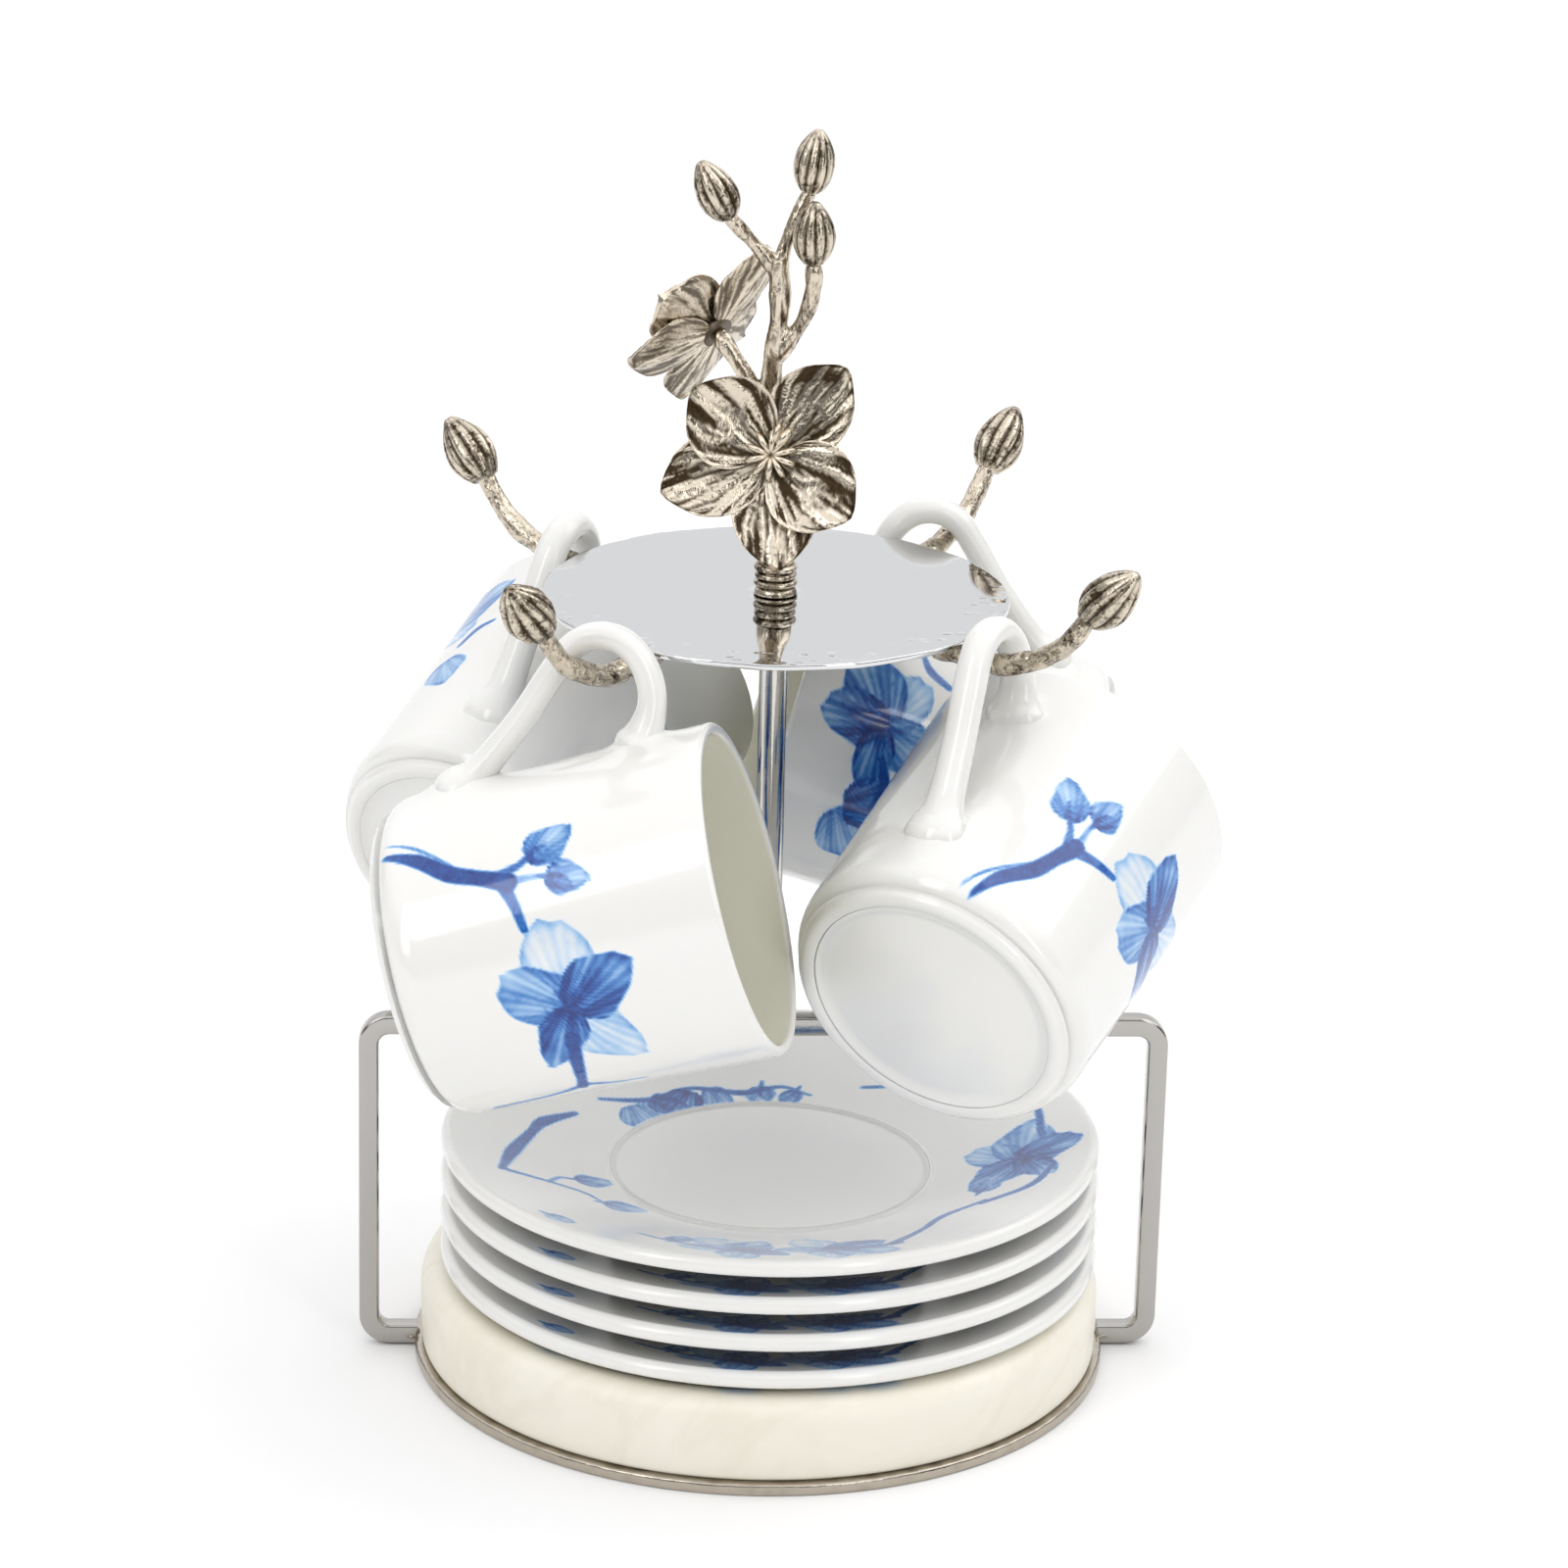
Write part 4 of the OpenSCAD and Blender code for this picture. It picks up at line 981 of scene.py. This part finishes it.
round_way = np.arctan2(cup_points[:, 1], cup_points[:, 0]) * (RIM_R + FOOT_R) / 2
outer = np.hypot(cup_points[:, 0], cup_points[:, 1])
on_outside = (outer > FOOT_R - 1.2) & (cup_points[:, 2] < CUP_H - 0.8)
wall_spots = np.stack([cup_points[on_outside, 2], round_way[on_outside]], -1)
NEARER = {"front_right": 8.0}

HANDLE_R = 2.4
HANDLE = [(11.4, 24.3, 1.1), (14.5, 26.4, 1.45), (19, 29.5, 1.12), (28.06, 36.5, 1), (34.66, 42.5, 1),
          (39.46, 46.4, 1), (43.66, 47.5, 1), (47.86, 45.9, 1), (50.46, 42.1, 1), (51.26, 37.5, 1),
          (50.26, 33.1, 1.08), (47.06, 27.7, 1.4), (45.5, 25.2, 1.1)]
handle_line = smooth_line([(reach, 0, along, HANDLE_R * wide) for along, reach, wide in HANDLE], 12)
wall_at = FOOT_R + (RIM_R - FOOT_R) * handle_line[:, 2] / CUP_H
handle_line[:, 3] *= 1 + 0.34 * np.exp(-np.clip(handle_line[:, 0] - wall_at, 0, 99) / 1.0)
handle_points, handle_faces = limb(handle_line, np.array([0, 1.0, 0]), 48, widen=1.25)
reach = np.hypot(handle_points[:, 0], handle_points[:, 1])
kept_out = np.maximum(reach, FOOT_R - 0.9 + (RIM_R - FOOT_R) * handle_points[:, 2] / CUP_H)
handle_points[:, :2] *= (kept_out / reach)[:, None]

# Marks the inside of the cup, where the porcelain shader paints shade and warm reflection.
cup_inside = (np.arange(len(cup_points)) < CUP_COLUMNS * (len(inside_wall) + 1)).astype(float)
cup_inside[len(cup_outline[cup_outline[:, 0] > 0]) * CUP_COLUMNS:] = (1, 0)
swell = np.zeros(len(cup_points))
for along, tall, wide in ((14.9, 6.0, 5.2), (47.0, 4.4, 5.0)):
    off = np.hypot((cup_points[:, 2] - along) / tall, round_way / wide)
    swell = np.maximum(swell, 1.3 * np.exp(-np.clip(off - 0.8, 0, 9) * 3.0))
swell *= on_outside
cup_points[:, :2] *= (1 + swell / np.maximum(outer, 1))[:, None]

for name in ("front_right", "back_right", "back_left", "front_left"):
    foot, axis = axis_of("cup_" + name)
    to_handle = corners_of("handle_" + name).mean(0) - foot
    to_handle = unit(to_handle - (to_handle @ axis) * axis)
    hung = np.array([to_handle, np.cross(axis, to_handle), axis])
    cup_ink = np.zeros(len(cup_points))
    cup_ink[on_outside] = cup_painting(wall_spots + (0, NEARER.get(name, 0.0)))
    cup = make("painted_cup_" + name, (cup_points @ hung + foot) * MM, cup_faces, ink=cup_ink, inside=cup_inside)
    finish(cup, porcelain, "hung_cup_" + name, "porcelain", "cup_" + name)
    handle = make("cup_handle_" + name, (handle_points @ hung + foot) * MM, handle_faces)
    finish(handle, porcelain, "hung_cup_" + name, "porcelain", "handle_" + name)

# ---------------------------------------------------------------------------------------------------------
# Saucers
# Four porcelain saucers are stacked on the stone base. Each has a low ring round its well, a wide flange
# painted with sprigs, and a thick rounded rim.

SAUCER_R, SAUCER_H, SAUCER_T, ROUND = 60.0, 14.7, 3.2, 1.6
WELL_Z, WELL_R, FLANGE_IN, FLANGE_Z, FOOT_OUT, FOOT_IN = 7.0, 29.0, 30.5, 7.3, 26.0, 23.0
share = np.linspace(0, 1, 68)
flange = np.stack([FLANGE_IN + (SAUCER_R - ROUND - FLANGE_IN) * share,
                   FLANGE_Z + (SAUCER_H - FLANGE_Z) * share ** 1.15], -1)
rim_turn = np.radians(np.linspace(75, -75, 11))
rim = np.stack([SAUCER_R - ROUND + ROUND * np.cos(rim_turn), SAUCER_H - ROUND + ROUND * np.sin(rim_turn)], -1)
belly = flange[::-4] - (0, SAUCER_T)
well = fine_line([(0, WELL_Z), (WELL_R - 3, WELL_Z)], 4.0)
well_ring = eased([(WELL_R - 2, WELL_Z), (WELL_R - 0.8, WELL_Z, 0.5), (WELL_R - 0.2, WELL_Z + 0.55, 0.4),
                   (WELL_R + 0.5, WELL_Z + 0.5, 0.4), (WELL_R + 0.9, WELL_Z + 0.1)], 4)
foot_ring = eased([(FOOT_OUT + 2, FLANGE_Z - SAUCER_T - 0.1), (FOOT_OUT + 0.6, FLANGE_Z - SAUCER_T - 0.4, 0.8),
                   (FOOT_OUT, 0, 0.7), (FOOT_IN, 0, 0.7), (FOOT_IN - 0.6, WELL_Z - SAUCER_T, 1.0),
                   (0, WELL_Z - SAUCER_T)], 5)
saucer_outline = np.vstack([well, well_ring, flange, rim, belly, foot_ring])


def saucer_painting(spots):
    """Ink on a saucer's flange. A spot is a place seen from above, in mm from the saucer's middle."""
    brush = Brush(spots)

    def at(radius, angle):
        return radius * math.cos(math.radians(angle)), radius * math.sin(math.radians(angle))

    brush.line([at(40, 152), at(43, 162), at(44, 170), at(47, 184), at(51, 196)], (1.2, 2.7, 1.8, 2.6, 1.1), 0.85)
    brush.line([at(50, 196), at(43, 200), at(38, 206), at(37, 214)], (1.4, 1.0, 0.9, 0.6), 0.75)
    brush.line([at(43, 200), at(40, 196), at(37, 196)], (1.0, 0.8, 0.6), 0.7)
    brush.bud(at(37, 196), 15, 7.0, 0.75)
    brush.bud(at(37, 214), -8, 7.5, 0.7)
    brush.bud(at(55, 222), 320, 6.0, 0.5)
    brush.line([at(47, 238), at(48, 250), at(50, 262)], (0.6, 1.4, 1.8), 0.8)
    brush.bud(at(47, 246), 60, 6.0, 0.8)
    brush.blossom(at(48, 261), 210, 12.5, (0.3, 0.7, 0.4, 0.9, 0.5))
    brush.blossom(at(47.5, 280), 60, 13.0, (0.6, 0.4, 0.9, 0.5, 0.3))
    brush.line([at(49, 279), at(49, 287), at(50, 294)], (1.2, 2.4, 1.8), 0.8)
    brush.line([at(50, 292), at(44, 305), at(41, 316), at(44, 328)], (2.0, 1.3, 1.6, 1.0), 0.85)
    brush.bud(at(41, 334), 60, 6.5, 0.8)
    brush.line([at(44, 326), at(50, 336), at(52, 346)], (1.4, 1.8, 1.2), 0.85)
    brush.blossom(at(46, 353), 170, 15.0, (0.6, 0.9, 0.5, 0.85, 0.8))
    brush.line([at(50, 3), at(52, 20), at(46, 40), at(38, 60)], (1.6, 1.1, 1.5, 0.8), 0.8)
    brush.bud(at(47, 30), 190, 6.5, 0.8)
    brush.line([at(40, 140), at(35, 126), at(36, 112), at(33, 96), at(35, 84), at(33, 74)],
               (0.8, 1.8, 1.0, 1.7, 0.9, 0.5), 0.85)
    for angle, aim, long, wide, dark in ((134, 304, 11, 10, 0.5), (127, 342, 8, 7, 0.9), (113, 253, 12, 8, 0.95),
                                         (106, 291, 9, 6, 0.6)):
        brush.petal(at(35.5, angle), aim, long, wide, dark, 5.0, angle)
    brush.bud(at(35, 90), 265, 7.0, 0.7)
    brush.bud(at(34, 79), 240, 5.5, 0.8)
    return brush.ink


SAUCER_COLUMNS = 512
saucer_points, saucer_faces = lathe(saucer_outline, SAUCER_COLUMNS)
reach = np.hypot(saucer_points[:, 0], saucer_points[:, 1])
on_top = np.arange(len(saucer_points)) < SAUCER_COLUMNS * (len(flange) + 40)
on_flange = (reach > FLANGE_IN - 0.5) & (reach < SAUCER_R - ROUND) & on_top
saucer_ink = np.zeros(len(saucer_points))
saucer_ink[on_flange] = saucer_painting(saucer_points[on_flange, :2])
for number in range(1, 5):
    low, high = size_of(f"saucer_{number}")
    middle = np.array(((low[0] + high[0]) / 2, (low[1] + high[1]) / 2, low[2]))
    saucer = make(f"painted_saucer_{number}", (saucer_points + middle) * MM, saucer_faces, ink=saucer_ink)
    finish(saucer, porcelain, f"stacked_saucer_{number}", "porcelain", f"saucer_{number}")
